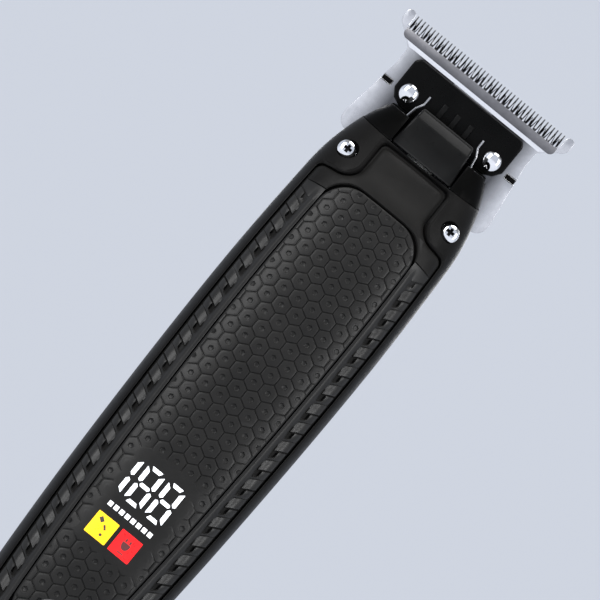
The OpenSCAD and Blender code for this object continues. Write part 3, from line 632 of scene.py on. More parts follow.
def finish_of(slot):
    if slot not in made:
        made[slot] = FINISHES[slot]()
    return made[slot]


# ---- Casing covers ----
def casing_rows(lo, hi, step=1.6):
    rows = [z for z in (0, 0.06, 0.2, 0.42, 0.7, 1.05, 1.4) if lo <= z]
    rows = rows or [lo]
    count = int((hi - rows[-1]) / step)
    return rows + [rows[-1] + (hi - rows[-1]) * k / count for k in range(1, count + 1)]


def casing_sheet(lo, hi, front, inset=0.0, across=72, half_gap=PARTING_GAP / 2):
    """One half of the casing's form as an open sheet between two heights."""
    rows = casing_rows(lo, hi)
    bm = bmesh.new()
    bmesh.ops.create_grid(bm, x_segments=across, y_segments=len(rows) - 1, size=0.5)
    for v in bm.verts:
        z = rows[round((v.co.y + 0.5) * (len(rows) - 1))]
        turn = pi * (v.co.x + 0.5)
        side, out = -cos(turn), max(sin(turn), 0)
        depth = (form(z, 2) if front else form(z, 3)) - inset
        y = max(out ** (2 / SQUARENESS) * depth, half_gap)
        v.co = (copysign(abs(side) ** (2 / SQUARENESS), side) * (form(z, 1) - inset), -y if front else y, z)
    return bm


def half_casing(front):
    bm = casing_sheet(0, 139, front)
    foot = [e for e in bm.edges if e.is_boundary and all(v.co.z < 1e-4 for v in e.verts)]
    bmesh.ops.contextual_create(bm, geom=foot)
    sliced(bm, BLADE @ Vector((0, 0, -HEAD_L)), BLADE.to_3x3() @ Vector((0, 0, 1)), True)
    outward(bm)
    middle = max(bm.faces, key=lambda f: -f.calc_center_median().y if front else f.calc_center_median().y)
    if (middle.normal.y > 0) == front:
        bmesh.ops.reverse_faces(bm, faces=bm.faces)
    bmesh.ops.solidify(bm, geom=bm.faces[:], thickness=WALL)
    outward(bm)
    bmesh.ops.remove_doubles(bm, verts=bm.verts, dist=1e-4)
    rim = [e for e in bm.edges if len(e.link_faces) == 2 and e.calc_face_angle(0) > radians(50)
           and all(v.co.z > 0.5 for v in e.verts) and not any(inner(v.co, 0.8) for v in e.verts)]
    return bevelled(bm, rim, 0.22, 2)


def inner(point, depth):
    """Whether a point lies deeper than depth inside the casing's form."""
    w = form(point.z, 1) - depth
    d = form(point.z, 2 if point.y < 0 else 3) - depth
    return abs(point.x / w) ** SQUARENESS + abs(point.y / d) ** SQUARENESS < 1


def recess_cutter():
    """What the grip recess takes out of the front cover, flared at the surface."""
    # Gap outside the recess and depth, beside the strips and beside the chin
    steps = ((0.0, 1.5, 0.0, 1.5), (0.0, 0.5, 0.0, 0.95), (-0.06, 0.22, -0.14, 0.55), (-0.2, 0.06, -0.42, 0.2),
             (-0.45, -0.02, -0.85, 0.02), (-0.6, -0.8, -1.0, -0.8))
    bm = bmesh.new()
    rings = []
    for gap, depth, chin_gap, chin_depth in steps:
        points = []
        for near, far in zip(grip_outline(gap), grip_outline(chin_gap)):
            k = ease(GRIP_TOP - 1, GRIP_TOP + 2, near[1])
            points.append((near[0] * (1 - k) + far[0] * k, near[1] * (1 - k) + far[1] * k))
        rings.append(ring_of(bm, points, lambda x, z, a=depth, b=chin_depth: a + (b - a) * ease(
            GRIP_TOP - 1, GRIP_TOP + 2, z)))
    return laid_on_casing(bridged(bm, rings, 1.6, 3.0))


def ear_well():
    """Counterbore of one ear screw."""
    top = -form(EAR_Z, 2)
    seat = top + 3.8
    return moved(turned([(0, 0), (2.15, 0), (2.15, seat - top - 0.9), (2.5, seat - top - 0.35),
                         (2.9, seat - top + 0.1), (2.9, seat - top + 2.5), (0, seat - top + 2.5)]),
                 at(EAR_X, seat, EAR_Z, FACING_FRONT))


def port_cutter():
    low, high = box_mm("charging_socket")
    return block((low.x - 0.25, high.x + 0.25), (low.y - 0.2, high.y + 0.2), (-1, 3.4), 0.8, 3)


def front_cover():
    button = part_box("power_button")
    radius = (button[1].x / MM) - 0.8 + 0.15
    hole = moved(turned([(0, 0), (radius, 0), (radius, 8), (radius + 0.01, 12), (0, 12)], 48),
                 at(0, -7.5, (button[0].z + button[1].z) / 2 / MM, FACING_FRONT))
    tool = merged(recess_cutter(), mirrored(ear_well()), port_cutter())
    return carved(carved(half_casing(True), tool), hole)


def rear_shell():
    room = moved(block((-40, 40), (-2.15, 40), (-BLADE_L - 0.3, 40), 0.5), BLADE)
    return carved(carved(half_casing(False), room), port_cutter())


# ---- Soft grip ----
STRIP_HIGH, STRIP_LOW = 113.4, 15.0
RIB_PITCH, FIRST_RIB, RIB_COUNT = 4.64, 112.0, 21


def chin_drop(z):
    """Depth of the smooth skin below the casing: flush by the panel, deeper at the chin."""
    return 0.78 * ease(GRIP_TOP - 1, GRIP_TOP + 6.5, z)


def soft_grip():
    """Smooth skin round the panel, with the chin between the ears."""
    steps = ((0.3, 1.3), (0.3, 0.75), (0.4, 0.45), (0.58, 0.24), (0.88, 0.1), (1.3, 0.0))
    bm = stepped_slab(grip_outline, steps, 1.3, 2.2,
                      (STRIP_HIGH, STRIP_HIGH + 0.35, STRIP_LOW, STRIP_LOW - 0.35, PANEL_LOW - 0.3, PANEL_TOP + 0.3))

    def relief(x, z, depth):
        if depth > 1.25:
            return 0.0
        channel = ease(STRIP_LOW - 0.35, STRIP_LOW, z) * (1 - ease(STRIP_HIGH, STRIP_HIGH + 0.35, z))
        drop = 0.1 + chin_drop(z)
        roll = depth * (1.0 + 0.6 * ease(GRIP_TOP, GRIP_TOP + 3, z))
        return drop + (roll - depth) + channel * (1.0 - depth)
    laid_on_casing(bm, relief)
    return bm


def panel_moat():
    """Takes out of the skin what the panel sits in."""
    bm = stepped_slab(panel_outline, ((-0.26, 1.6), (-0.26, 0.35), (-0.44, 0.12), (-0.66, -1.2)), 1.6, 3.0)
    return laid_on_casing(bm)


# How far down its pitch each row of a rib lies, and how deep
RIB_PHASES = (0.0, 0.045, 0.062, 0.14, 0.22, 0.3, 0.36, 0.42, 0.45, 0.48, 0.6, 0.74, 0.88, 0.965, 0.985)
RIB_DEPTHS = (0.95, 0.95, 0.22, 0.18, 0.22, 0.28, 0.34, 0.42, 0.56, 0.42, 0.33, 0.2, 0.09, 0.05, 0.2)
# Distances in from the silhouette: the groove, the ribs and the ridge end here
GROOVE_END, RIB_END, RIDGE_END = 2.51, 4.76, 6.45
RIB_SLOPE = 0.68
STRIP_STEPS = (2.14, 2.5, 2.52, 2.64, 2.9, 3.2, 3.5, 3.8, 4.05, 4.25, 4.45, 4.6, 4.75, 4.9, 5.05, 5.2, 5.4, 5.65,
               5.95, 6.2, 6.36, 6.44, 6.46)


def strip_depth(s, phase, rib_depth):
    """Depth below the casing across one ribbed strip, s in from the silhouette."""
    if s < GROOVE_END:
        return 1.12
    if s < RIB_END:
        pocket = 0.95 * ease(3.75, 4.15, s) * (1 - ease(0.22, 0.36, phase))
        fall = 0.14 * (1 - ease(2.5, 2.8, s)) + 0.36 * ease(3.3, 4.6, s)
        return min(rib_depth + pocket + fall, 1.25)
    if s > RIDGE_END:
        return 1.1
    inner_bank = 0.72 * (1 - ease(4.75, 5.6, s))
    return 0.05 + inner_bank + 0.24 * ease(5.9, 6.44, s)


def ribbed_strip():
    """The right-hand strip of slanted ribs, its groove and the ridge beside the panel."""
    rows = [(k + phase, depth, phase) for k in range(-1, RIB_COUNT + 1)
            for phase, depth in zip(RIB_PHASES, RIB_DEPTHS)]
    bm = bmesh.new()
    bmesh.ops.create_grid(bm, x_segments=len(STRIP_STEPS) - 1, y_segments=len(rows) - 1, size=0.5)
    for v in bm.verts:
        s = STRIP_STEPS[round((v.co.x + 0.5) * (len(STRIP_STEPS) - 1))]
        count, rib_depth, phase = rows[round((v.co.y + 0.5) * (len(rows) - 1))]
        slant = RIB_SLOPE * min(max(s - 2.5, 0), 2.25)
        level = FIRST_RIB - RIB_PITCH * count
        fade = ease(FIRST_RIB - 2.4, FIRST_RIB + 1.2, level) + 1 - ease(STRIP_LOW - 1.6, STRIP_LOW + 1.2, level)
        z = level - slant * (1 if s < RIB_END else 1 - ease(RIB_END, 5.6, s))
        depth = strip_depth(s, phase, rib_depth)
        depth += (0.5 - depth) * min(fade, 1) if 2.15 < s < RIDGE_END else 0
        x = half_w(z) - s
        v.co = (x, front_y(x, z) + depth, z)
    bmesh.ops.recalc_face_normals(bm, faces=bm.faces)
    if sum(f.normal.y for f in bm.faces) > 0:
        bmesh.ops.reverse_faces(bm, faces=bm.faces)
    return bm


# ---- Honeycomb panel ----
HEX_PITCH = 3.36
HEX_ROW = HEX_PITCH * sqrt(3) / 2
HEX_FIRST = 113.6
HEX_GROOVE = 0.24


def display_flat(x, z, low, top):
    """0 round the lit display, 1 elsewhere."""
    over = max(abs(x) - 7.3, z - top - 2.2, low - 1.6 - z)
    return ease(0.0, 0.35, over)


# Inset and depth of each step from the groove to the middle of a cell
HEX_STEPS = ((0.05, HEX_GROOVE), (0.09, 0.06), (0.14, 0.02), (0.42, 0.06), (0.26, 0.01), (0.22, 0.05),
             (0.08, 0.24), (0.12, 0.3))


def hex_cell(bm, x, z):
    out = bmesh.ops.create_circle(bm, cap_ends=True, segments=6, radius=HEX_PITCH / sqrt(3),
                                  matrix=at(x, HEX_GROOVE, z, Matrix.Rotation(radians(90), 4, "X")))
    return out["verts"][0].link_faces[0]


def sink_cells(bm, cells):
    """A shared groove, a domed land and a dimple in the middle of every cell."""
    for thickness, depth in HEX_STEPS:
        bmesh.ops.inset_individual(bm, faces=cells, thickness=thickness, use_even_offset=True)
        for v in {v for face in cells for v in face.verts}:
            v.co.y = depth


def panel_edges():
    """A point and the outward direction of each side of the panel's face."""
    edges = []
    outline = panel_outline(0.42)
    for (ax, az), (bx, bz) in zip(outline[-1:] + outline, outline):
        length = sqrt((bx - ax) ** 2 + (bz - az) ** 2)
        if length > 1e-5:
            edges.append(((ax, az), ((bz - az) / length, -(bx - ax) / length)))
    return edges


def grip_panel():
    edges = panel_edges()
    whole, trimmed = bmesh.new(), bmesh.new()
    whole_cells, trimmed_cells = [], []
    rows = int((PANEL_TOP - PANEL_LOW) / HEX_ROW) + 3
    for row in range(-1, rows):
        z = HEX_FIRST - row * HEX_ROW
        shift = HEX_PITCH / 2 if row % 2 else 0
        for k in range(-4, 5):
            x = k * HEX_PITCH + shift - 0.12
            reach, _ = inside_panel(x, z, edges)
            if reach > HEX_PITCH * 0.6:
                whole_cells.append(hex_cell(whole, x, z))
            elif reach > -HEX_PITCH * 0.6:
                trimmed_cells.append(hex_cell(trimmed, x, z))
    sink_cells(whole, whole_cells)
    sink_cells(trimmed, trimmed_cells)
    for (x, z), (nx, nz) in edges:
        sliced(trimmed, (x, 0, z), (nx, 0, nz), True)
    bm = merged(whole, trimmed)
    bmesh.ops.remove_doubles(bm, verts=bm.verts, dist=0.01)
    bmesh.ops.subdivide_edges(bm, edges=[e for e in bm.edges if e.calc_length() > 1.2], cuts=1,
                              use_grid_fill=True)
    lit_low, lit_top = box_mm("oil_icon")[0].z, box_mm("display_digits")[1].z
    for v in bm.verts:
        reach, _ = inside_panel(v.co.x, v.co.z, edges)
        v.co.y *= ease(0.0, 0.5, reach) * display_flat(v.co.x, v.co.z, lit_low, lit_top)
    bmesh.ops.triangulate(bm, faces=[f for f in bm.faces if len(f.verts) > 4])
    for step, drop in ((0.16, 0.05), (0.12, 0.16), (0.02, 0.75)):
        rim = [e for e in bm.edges if e.is_boundary]
        grown = bmesh.ops.extrude_edge_only(bm, edges=rim)["geom"]
        for v in verts_in(grown):
            _, (nx, nz) = inside_panel(v.co.x, v.co.z, edges)
            v.co += Vector((nx * step, drop, nz * step))
    outward(bm)
    if sum(f.normal.y * f.calc_area() for f in bm.faces) > 0:
        bmesh.ops.reverse_faces(bm, faces=bm.faces)
    return laid_on_casing(bm)


# ---- Lit display ----
def on_display(points, lift=0.02, depth=0.5, edge=0.05):
    """A thin lit shape that follows the panel."""
    bm = plate(points, -lift, depth, edge, 1)
    low = min(v.co.x for v in bm.verts)
    high = max(v.co.x for v in bm.verts)
    if high - low > 1.5:
        gridded(bm, 0.8, 50)
    return laid_on_casing(bm)


def digit_segments(lit):
    """Mitred segments of one digit about its middle."""
    low, high = box_mm("display_digits")
    h, w, s = (high.z - low.z) / 2, 1.98, 0.95
    bar = 0.82
    top = [(-1.2, h - 0.1), (-1.05, h), (1.05, h), (1.2, h - 0.1), (0.78, h - bar), (-0.78, h - bar)]
    mid = [(-1.15, 0), (-0.85, bar / 2), (0.85, bar / 2), (1.15, 0), (0.85, -bar / 2), (-0.85, -bar / 2)]
    side = [(w, h - 0.62), (w - 0.14, h - 0.55), (w - s, h - 1.25), (w - s, 0.68), (w - s / 2, 0.22), (w, 0.55)]
    shapes = {"top": top, "mid": mid, "bottom": [(x, -z) for x, z in top],
              "upper_right": side, "upper_left": [(-x, z) for x, z in side],
              "lower_right": [(x, -z) for x, z in side], "lower_left": [(-x, -z) for x, z in side]}
    return [shapes[name] for name in lit]


def display_digits():
    low, high = box_mm("display_digits")
    middle = (low.z + high.z) / 2
    every = ("top", "mid", "bottom", "upper_right", "upper_left", "lower_right", "lower_left")
    parts = []
    for x, lit in ((-6.58, ("upper_right", "lower_right")), (-1.72, every), (3.08, every)):
        for shape in digit_segments(lit):
            parts.append(on_display([(x + px, middle + pz) for px, pz in shape]))
    return merged(*parts)


def level_marks():
    low, high = box_mm("level_marks")
    pitch = (high.x - low.x - 0.95) / 7
    parts = []
    for k in range(8):
        x = low.x + k * pitch
        parts.append(on_display([(x, low.z), (x + 0.95, low.z), (x + 0.95, high.z), (x, high.z)]))
    return merged(*parts)


def icon_plate(node):
    low, high = box_mm(node)
    r = 0.12
    corners = [(low.x + r, low.z), (high.x - r, low.z), (high.x, low.z + r), (high.x, high.z - r),
               (high.x - r, high.z), (low.x + r, high.z), (low.x, high.z - r), (low.x, low.z + r)]
    return on_display(corners)


def turned_box(x, z, w, h, angle, centre):
    a = radians(angle)
    return [(centre[0] + x + px * cos(a) - pz * sin(a), centre[1] + z + px * sin(a) + pz * cos(a))
            for px, pz in ((-w / 2, -h / 2), (w / 2, -h / 2), (w / 2, h / 2), (-w / 2, h / 2))]


def disc(x, z, r, centre, count=20):
    return [(centre[0] + x + r * cos(2 * pi * k / count), centre[1] + z + r * sin(2 * pi * k / count))
            for k in range(count)]


def icon_middle(node):
    low, high = box_mm(node)
    return (low.x + high.x) / 2, (low.z + high.z) / 2


def oil_glyph():
    """An oil drop falling from a tipped bottle."""
    c = icon_middle("oil_icon")
    shapes = (turned_box(-0.9, 1.2, 1.0, 0.72, -38, c), turned_box(0.42, 0.3, 1.0, 0.38, -50, c),
              disc(0.6, -1.18, 0.28, c))
    return merged(*(on_display(shape, 0.06, 0.2, 0.02) for shape in shapes))


def plug_glyph():
    """A mains plug with two pins."""
    c = icon_middle("plug_icon")
    body = [(c[0] + x, c[1] + z) for x, z in ((-0.85, 0.62), (0.85, 0.62), (0.85, 0.1), (0.7, -0.4), (0.4, -0.72),
                                            (0, -0.84), (-0.4, -0.72), (-0.7, -0.4), (-0.85, 0.1))]
    shapes = (body, turned_box(-0.45, 1.05, 0.36, 0.62, 0, c), turned_box(0.45, 1.05, 0.36, 0.62, 0, c),
              turned_box(0, -1.5, 1.3, 0.22, 0, c))
    return merged(*(on_display(shape, 0.06, 0.2, 0.02) for shape in shapes))


# ---- Power button ----
def power_button():
    low, high = box_mm("power_button")
    r = (high.x - low.x) / 2 - 0.8
    deep = high.y - low.y
    profile = [(0, deep - 0.45), (r * 0.4, deep - 0.4), (r * 0.68, deep - 0.2), (r - 0.55, deep - 0.03),
               (r - 0.3, deep), (r - 0.1, deep - 0.08), (r, deep - 0.3), (r, 0.7), (r + 0.8, 0.7), (r + 0.8, 0),
               (r - 1, 0), (r - 1, deep - 1.3), (1.2, deep - 1.3), (1.2, 0.62), (0, 0.62)]
    return moved(turned(profile, 56), at(0, high.y, (low.z + high.z) / 2, FACING_FRONT))


def button_symbol():
    low, high = box_mm("power_button")
    middle, face = (low.z + high.z) / 2, low.y + 0.36
    arc = bmesh.new()
    quad = [arc.verts.new((x, face + y, 0)) for x, y in ((1.2, 0.3), (1.2, -0.02), (1.5, -0.02), (1.5, 0.3))]
    shape = arc.faces.new(quad)
    bmesh.ops.rotate(arc, cent=(0, 0, 0), matrix=Matrix.Rotation(radians(-128), 3, "Y"), verts=arc.verts)
    bmesh.ops.spin(arc, geom=[shape] + shape.edges[:] + shape.verts[:], cent=(0, 0, 0), axis=(0, 1, 0),
                   angle=radians(-284), steps=30)
    bmesh.ops.translate(arc, vec=(0, 0, middle), verts=arc.verts)
    bar = block((-0.15, 0.15), (face - 0.02, face + 0.3), (middle + 0.55, middle + 1.75), 0.04, 1)
    return merged(outward(arc), bar)


# ---- Head ----
def head_frame():
    """Neck between the covers and the blade guide."""
    bm = merged(*(casing_sheet(EAR_Z + 3.5, OVERALL_H - 12, front, 0.12, 48, 0.0) for front in (True, False)))
    bmesh.ops.remove_doubles(bm, verts=bm.verts, dist=1e-3)
    bmesh.ops.holes_fill(bm, edges=[e for e in bm.edges if e.is_boundary], sides=0)
    outward(bm)
    cuts = ((BLADE @ Vector((0, 0, -HEAD_L + 0.1)), BLADE.to_3x3() @ Vector((0, 0, -1))),
            (BLADE @ Vector((0, 0, -GUIDE_LOW - 0.1)), BLADE.to_3x3() @ Vector((0, 0, 1))),
            (BLADE @ Vector((0, -0.02, 0)), BLADE.to_3x3() @ Vector((0, 1, 0))))
    for place, normal in cuts:
        cut = [g for g in sliced(bm, place, normal, True) if isinstance(g, bmesh.types.BMEdge)]
        bmesh.ops.holes_fill(bm, edges=cut, sides=0)
    outward(bm)
    half = box_mm("spring_cover")[1].x + 0.15
    slot = moved(block((-half, half), (-30, -GUIDE_T), (-40, 4)), BLADE)
    room = moved(block((7.35, 12.2), (-8.2, -3.0), (-40, 4)), BLADE)
    bm = carved(bm, slot)
    bm = carved(bm, mirrored(room))
    return rounded(bm, 0.16, 2, 38)


def spring_cover():
    low = -HEAD_L + 0.1
    profile = [(-GUIDE_T - 0.05, -13.1), (-9.4, -13.1), (-11, -15), (-13.4, low), (-GUIDE_T - 0.05, low)]
    bm = bmesh.new()
    face = bm.faces.new([bm.verts.new((-1, y, z)) for y, z in profile])
    grown = bmesh.ops.extrude_face_region(bm, geom=[face])["geom"]
    bmesh.ops.translate(bm, vec=(2, 0, 0), verts=verts_in(grown))
    wide = box_mm("spring_cover")[1].x
    for v in bm.verts:
        v.co.x *= wide - 1.0 * (v.co.z - low) / (-13.1 - low)
    outward(bm)
    front = [e for e in bm.edges if any(v.co.y < -9 for v in e.verts)]
    return moved(bevelled(bm, front, 0.42, 4), BLADE)


def blade_guide():
    """Black plate over the cutter, with three ribs and room at its back for the cutter's tongue."""
    half, top, r = box_mm("blade_guide")[1].x, -5.95, 1.6
    right = [(half - 3, -GUIDE_LOW), (half - 1.2, -15.2), (half, -13.5)]
    right += [(half - r * (1 - cos(a)), top - r * (1 - sin(a))) for a in map(radians, range(0, 91, 10))]
    bm = plate(both_halves(right), -GUIDE_T, -0.06)
    front = [e for e in bm.edges if all(v.co.y < -GUIDE_T + 0.01 for v in e.verts)]
    bm = carved(bevelled(bm, front, 0.45, 3), block((-9.2, 9.2), (-1.03, 1), (-20, -5)))
    ribs = [block((x - 0.5, x + 0.5), (-GUIDE_T - 0.34, -GUIDE_T + 0.1), (-12.9, -10), 0.12, 2)
            for x in (-3.2, 0, 3.2)]
    return moved(merged(bm, *ribs), BLADE)


def dome_screw():
    """Domed guide screw with a thin washer face under its head."""
    profile = [(0, 1.02), (0.5, 0.98), (1.0, 0.86), (1.45, 0.64), (1.8, 0.34), (1.98, 0.12), (2.0, 0.0),
               (0.9, 0.0), (0.9, -3.9), (0, -3.9)]
    return moved(turned(profile, 48), at(GUIDE_SCREW_X, -GUIDE_T, GUIDE_SCREW_Z, FACING_FRONT))


def cross_cutter(reach, deep):
    """A tapered cross, pointing down from height 0."""
    parts = []
    for angle in (0, 90):
        bm = block((-reach, reach), (-0.38, 0.38), (-deep, 1.0))
        for v in bm.verts:
            if v.co.z < 0:
                v.co.x *= 0.55
                v.co.y *= 0.7
        parts.append(moved(bm, Matrix.Rotation(radians(angle), 4, "Z")))
    return carved(parts[0], parts[1], "UNION")


def paint_recess_shadow(bm, reach, surface_height):
    """Gives the faces inside a cross recess the second finish, a dark painted shadow."""
    for face in bm.faces:
        c = face.calc_center_median()
        r = sqrt(c.x ** 2 + c.y ** 2)
        if r < reach and surface_height(r) - 1.2 < c.z < surface_height(r) - 0.12:
            face.material_index = 1


def body_screws():
    seat = -form(EAR_Z, 2) + 3.8
    head = turned([(0, 1.25), (0.7, 1.22), (1.25, 1.1), (1.65, 0.86), (1.88, 0.52), (1.94, 0.22), (1.94, 0.0),
                   (1.0, 0.0), (1.0, -10.0), (0, -10.0)], 48)
    head = carved(head, moved(cross_cutter(1.12, 0.95), at(0, 0, 1.3)))
    paint_recess_shadow(head, 1.15, lambda r: 1.25 - 0.16 * r * r)
    return mirrored(moved(head, at(EAR_X, seat, EAR_Z, FACING_FRONT)))


def blade_screws():
    head = turned([(0, 0), (1.72, 0), (1.88, -0.08), (1.0, -0.92), (1.0, -7.4), (0, -7.4)], 40)
    head = carved(head, moved(cross_cutter(1.3, 0.8), at(0, 0, 0.02)))
    paint_recess_shadow(head, 1.35, lambda r: 0.0)
    return moved(mirrored(moved(head, at(BLADE_SCREW_X, BLADE_T - 0.06, BLADE_SCREW_Z, FACING_BACK))), BLADE)


# ---- Blades ----
COMB_PITCH, CUTTER_PITCH = 0.84, 1.13
# The comb's teeth are painted dark below this height, a painted shadow where they pass behind the cutter
COMB_SHADE = -0.95


def tooth(x, root_w, tip_w, root, tip, y0, y1, tip_y0, tip_y1):
    bm = bmesh.new()
    bmesh.ops.create_cube(bm, size=1)
    for v in bm.verts:
        high = v.co.z > 0
        width = tip_w if high else root_w
        y = (tip_y0 if v.co.y < 0 else tip_y1) if high else (y0 if v.co.y < 0 else y1)
        v.co = (x + v.co.x * width, y, tip if high else root)
    return bm


def comb_half():
    """Right half of the fixed blade's outline, from the teeth down to the foot."""
    wing = 16.3
    half = BLADE_HALF
    outline = [(half - 1.9, -2.6), (half - 1.9, -0.45), (half - 1.68, 0.02), (half - 1.25, 0.25),
               (half - 0.65, 0.25), (half - 0.22, 0.02), (half, -0.45), (half, -2.1), (half - 0.35, -2.75),
               (half - 0.9, -3.25), (half - 2.4, -4.2), (half - 4, -5.6), (half - 4.5, -6.1), (wing, -6.9),
               (wing, -10), (wing + 0.5, -12.86), (14.45, -12.86), (14.45, -13.99), (wing + 0.68, -13.99),
               (wing + 1.0, -17), (wing + 1.6, -20.5), (18.3, -23.2)]
    outline += [(18.3 - 2.6 * (1 - cos(a)), -BLADE_L + 3.2 - 2.6 * sin(a)) for a in map(radians, range(15, 90, 15))]
    return outline + [(15.7, -BLADE_L + 0.6), (14.6, -BLADE_L)]


def fixed_blade():
    bm = plate(both_halves(comb_half()[::-1]), 0.0, BLADE_T)
    bevelled(bm, [e for e in bm.edges if all(v.co.y < 0.01 for v in e.verts)
                  or all(v.co.y > BLADE_T - 0.01 for v in e.verts)], 0.12, 2)
    for z in (-4.4, -3.0, -2.6):
        sliced(bm, (0, 0, z), (0, 0, 1))
    for v in bm.verts:
        if v.co.z > -4.4 and v.co.y > 0.3:
            limit = BLADE_T + (0.35 - BLADE_T) * min((v.co.z + 4.4) / 4.4, 1)
            v.co.y = min(v.co.y, limit)
    screw_hole = turned([(0, -3), (1.2, -3), (1.2, 0.5), (2.1, 1.5), (2.3, 2.5), (0, 2.5)], 40)
    guide_hole = turned([(0, -3), (0.9, -3), (0.9, 3), (0, 3)], 32)
    bm = carved(bm, mirrored(merged(moved(screw_hole, at(BLADE_SCREW_X, 0, BLADE_SCREW_Z, FACING_BACK)),
                                    moved(guide_hole, at(GUIDE_SCREW_X, 0, GUIDE_SCREW_Z, FACING_BACK)))))
    count = int((BLADE_HALF - 2.4) / COMB_PITCH)
    teeth = []
    for k in range(-count, count + 1):
        one = rounded(tooth(k * COMB_PITCH, 0.5, 0.24, -2.9, 0.0, 0.0, 1.1, 0.0, 0.35), 0.05, 1)
        sliced(one, (0, 0, COMB_SHADE), (0, 0, 1))
        # Painted shadow below COMB_SHADE on each tooth, painted shade on the tips above it.
        for face in one.faces:
            face.material_index = 1 if face.calc_center_median().z < COMB_SHADE else 2
        teeth.append(one)
    return moved(merged(bm, *teeth), BLADE)


def moving_blade():
    half = CUTTER_HALF
    back, front = -BLADE_GAP, -BLADE_GAP - CUTTER_T
    bar = plate([(-half, -3), (half, -3), (half, -4.1), (half - 0.25, -4.55), (half - 0.8, -4.9),
                 (-half + 0.8, -4.9), (-half + 0.25, -4.55), (-half, -4.1)], front, back, 0.08, 2)
    low = half - 1.4
    bevel = plate([(-low, -4.86), (low, -4.86), (low - 1.2, -5.8), (-low + 1.2, -5.8)], front + 0.26, back, 0.06, 1)
    # The bevel band gets the near-white steel, a painted highlight.
    for face in bevel.faces:
        face.material_index = 1
    count = int((half - 0.6) / CUTTER_PITCH)
    parts = [bar, bevel]
    for k in range(-count, count + 1):
        one = tooth(k * CUTTER_PITCH, 0.96, 0.2, -3.05, -CUTTER_SET, front + 0.12, back, -BLADE_GAP - 0.25, back)
        for v in one.verts:
            if v.co.y < back - 0.1:
                v.co.x += (k * CUTTER_PITCH - v.co.x) * 0.45
        rounded(one, 0.05, 1)
        # Teeth faces turned to the front get the near-white steel as a painted highlight, their other faces the
        # near-black steel as painted shade.
        for face in one.faces:
            face.material_index = 1 if face.normal.y < -0.9 else 2
        parts.append(one)
    follower = box_mm("drive_follower")[1].x
    parts.append(block((-follower - 0.3, follower + 0.3), (-BLADE_GAP - 0.8, back), (-19.2, -5.7), 0.1, 1))
    return moved(merged(*parts), BLADE)


# ---- Studio ----
def studio():
    """A pale floor that curves up into a wall all round."""
    profile = [(0.0, 0.0), (0.4, 0.0), (0.9, 0.0), (1.3, 0.0)]
    profile += [(1.3 + 0.9 * sin(radians(a)), 0.9 * (1 - cos(radians(a)))) for a in range(10, 91, 10)]
    profile += [(2.2, 1.6), (2.2, 2.4)]
    bm = turned(profile, 96)
    bm.faces.ensure_lookup_table()
    if bm.faces[0].normal.z < 0 or sum(f.normal.z for f in bm.faces) < 0:
        bmesh.ops.reverse_faces(bm, faces=bm.faces)
    mesh = bpy.data.meshes.new("studio_floor")
    bm.to_mesh(mesh)
    bm.free()
    mesh.shade_smooth()
    floor = bpy.data.objects.new("studio_floor", mesh)
    SCENE.collection.objects.link(floor)
    material, _, base = shader("studio_paint")
    base.inputs["Base Color"].default_value = (0.2, 0.205, 0.215, 1)
    base.inputs["Roughness"].default_value = 0.9
    base.inputs["Specular IOR Level"].default_value = 0.1
    base.inputs["Emission Color"].default_value = (0.585, 0.622, 0.7, 1)
    base.inputs["Emission Strength"].default_value = 0.83
    mesh.materials.append(material)


def soft_light(name, place, width, height, power):
    """A rectangular lamp that faces the middle of the object."""
    data = bpy.data.lights.new(name, "AREA")
    data.shape = "RECTANGLE"
    data.size, data.size_y = width, height
    data.energy = power
    lamp = bpy.data.objects.new(name, data)
    lamp.location = place
    lamp.rotation_euler = (Vector((0, 0, 0.09)) - Vector(place)).to_track_quat("-Z", "Y").to_euler()
    lamp.visible_camera = False
    SCENE.collection.objects.link(lamp)


def lights():
    soft_light("left_softbox", (-0.52, -0.62, 0.34), 0.3, 0.6, 6.5)
    soft_light("right_softbox", (0.62, -0.5, 0.30), 0.22, 0.6, 5.0)
    soft_light("top_softbox", (0.0, -0.3, 0.95), 0.5, 0.5, 6.0)
    soft_light("back_softbox", (0.1, 0.9, 0.6), 0.8, 0.6, 5.0)
    world = bpy.data.worlds.new("studio_air")
    SCENE.world = world
    world.use_nodes = True
    world.node_tree.nodes["Background"].inputs[0].default_value = (0.62, 0.63, 0.645, 1)
    world.node_tree.nodes["Background"].inputs[1].default_value = 0.5


def camera():
    rise, roll = radians(12.0), radians(39.26)
    eye = Vector((-1.398, -432.6, 4.28)) * MM
    ahead = Vector((0, cos(rise), sin(rise)))
    right = Vector((1, 0, 0))
    up = right.cross(ahead)
    data = bpy.data.cameras.new("camera")
    data.sensor_width = 36
    data.lens = 138.34
    data.clip_start, data.clip_end = 0.01, 20
    seat = bpy.data.objects.new("camera", data)
    columns = (right * cos(roll) + up * sin(roll), up * cos(roll) - right * sin(roll), -ahead)
    seat.matrix_world = Matrix.Translation(eye) @ Matrix(columns).transposed().to_4x4()
    SCENE.collection.objects.link(seat)
    SCENE.camera = seat
    SCENE.view_settings.view_transform = "Standard"


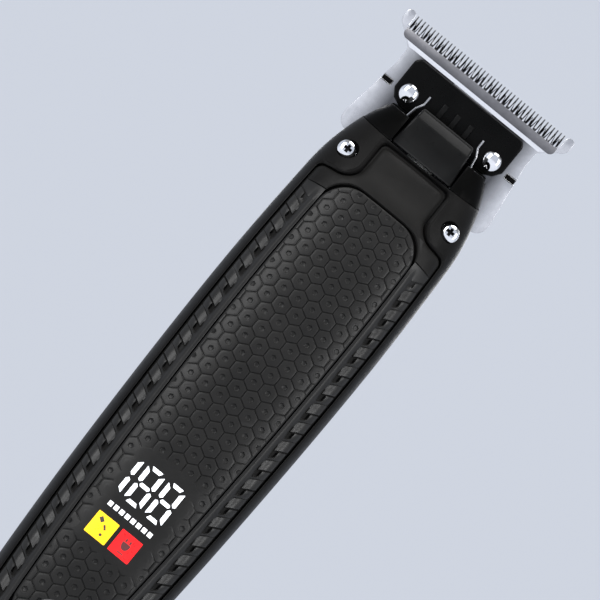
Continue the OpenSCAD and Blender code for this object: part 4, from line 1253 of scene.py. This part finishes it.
def make_pieces():
    finished(front_cover(), "front_cover_moulding", "casing", "casing_black", ["front_cover"], 32)
    finished(rear_shell(), "rear_shell_moulding", "casing", "rear_black", ["rear_shell"], 32)
    finished(carved(soft_grip(), panel_moat()), "soft_grip_skin", "casing", "soft_grip", ["soft_grip"], 40)
    finished(mirrored(ribbed_strip()), "soft_grip_ribs", "casing", "soft_grip", (), 24, ["rib_black"], 0.3)
    finished(grip_panel(), "honeycomb_panel", "casing", "panel_black", ["grip_panel"], 26)
    finished(display_digits(), "lit_digits", "casing", "light_white", ["display_digits"])
    finished(level_marks(), "lit_level_marks", "casing", "light_white", ["level_marks"])
    finished(icon_plate("oil_icon"), "lit_oil_icon", "casing", "light_yellow", ["oil_icon"])
    finished(icon_plate("plug_icon"), "lit_plug_icon", "casing", "light_red", ["plug_icon"])
    finished(oil_glyph(), "oil_glyph", "casing", "light_yellow", finishes=["glyph_dark"])
    finished(plug_glyph(), "plug_glyph", "casing", "light_red", finishes=["glyph_maroon"])
    finished(power_button(), "power_button_cap", "button", "button_black", ["power_button"])
    finished(button_symbol(), "power_symbol", "button", "light_white")
    finished(head_frame(), "neck_frame", "casing", "head_black", ["head_frame"], 30)
    finished(spring_cover(), "spring_block", "casing", "head_black", ["spring_cover"], 40, ["block_black"])
    finished(blade_guide(), "blade_guide_plate", "casing", "guide_black", ["blade_guide"])
    finished(moved(mirrored(dome_screw()), BLADE), "guide_screw_heads", "casing", "screw_chrome", ["guide_screws"])
    crossed = ["screw_chrome", "recess_shadow"]
    finished(body_screws(), "ear_screws", "casing", "screw_chrome", ["body_screws"], finishes=crossed)
    finished(blade_screws(), "blade_screw_heads", "casing", "screw_chrome", ["blade_screws"], finishes=crossed)
    finished(fixed_blade(), "comb_blade", "casing", "blade_steel", ["fixed_blade"], 25,
             ["blade_steel", "tooth_shadow_steel", "tip_shade_steel"])
    finished(moving_blade(), "cutter_blade", "cutter", "cutter_steel", ["moving_blade"], 25,
             ["cutter_steel", "ground_highlight_steel", "tooth_shadow_steel"])


def main():
    camera()
    studio()
    lights()
    for part in frame["record"]["subparts"]:
        mesh = frame["nodes"][part["node"]].data
        mesh.materials.clear()
        mesh.materials.append(finish_of(part["material_slot"]))
    make_pieces()


main()
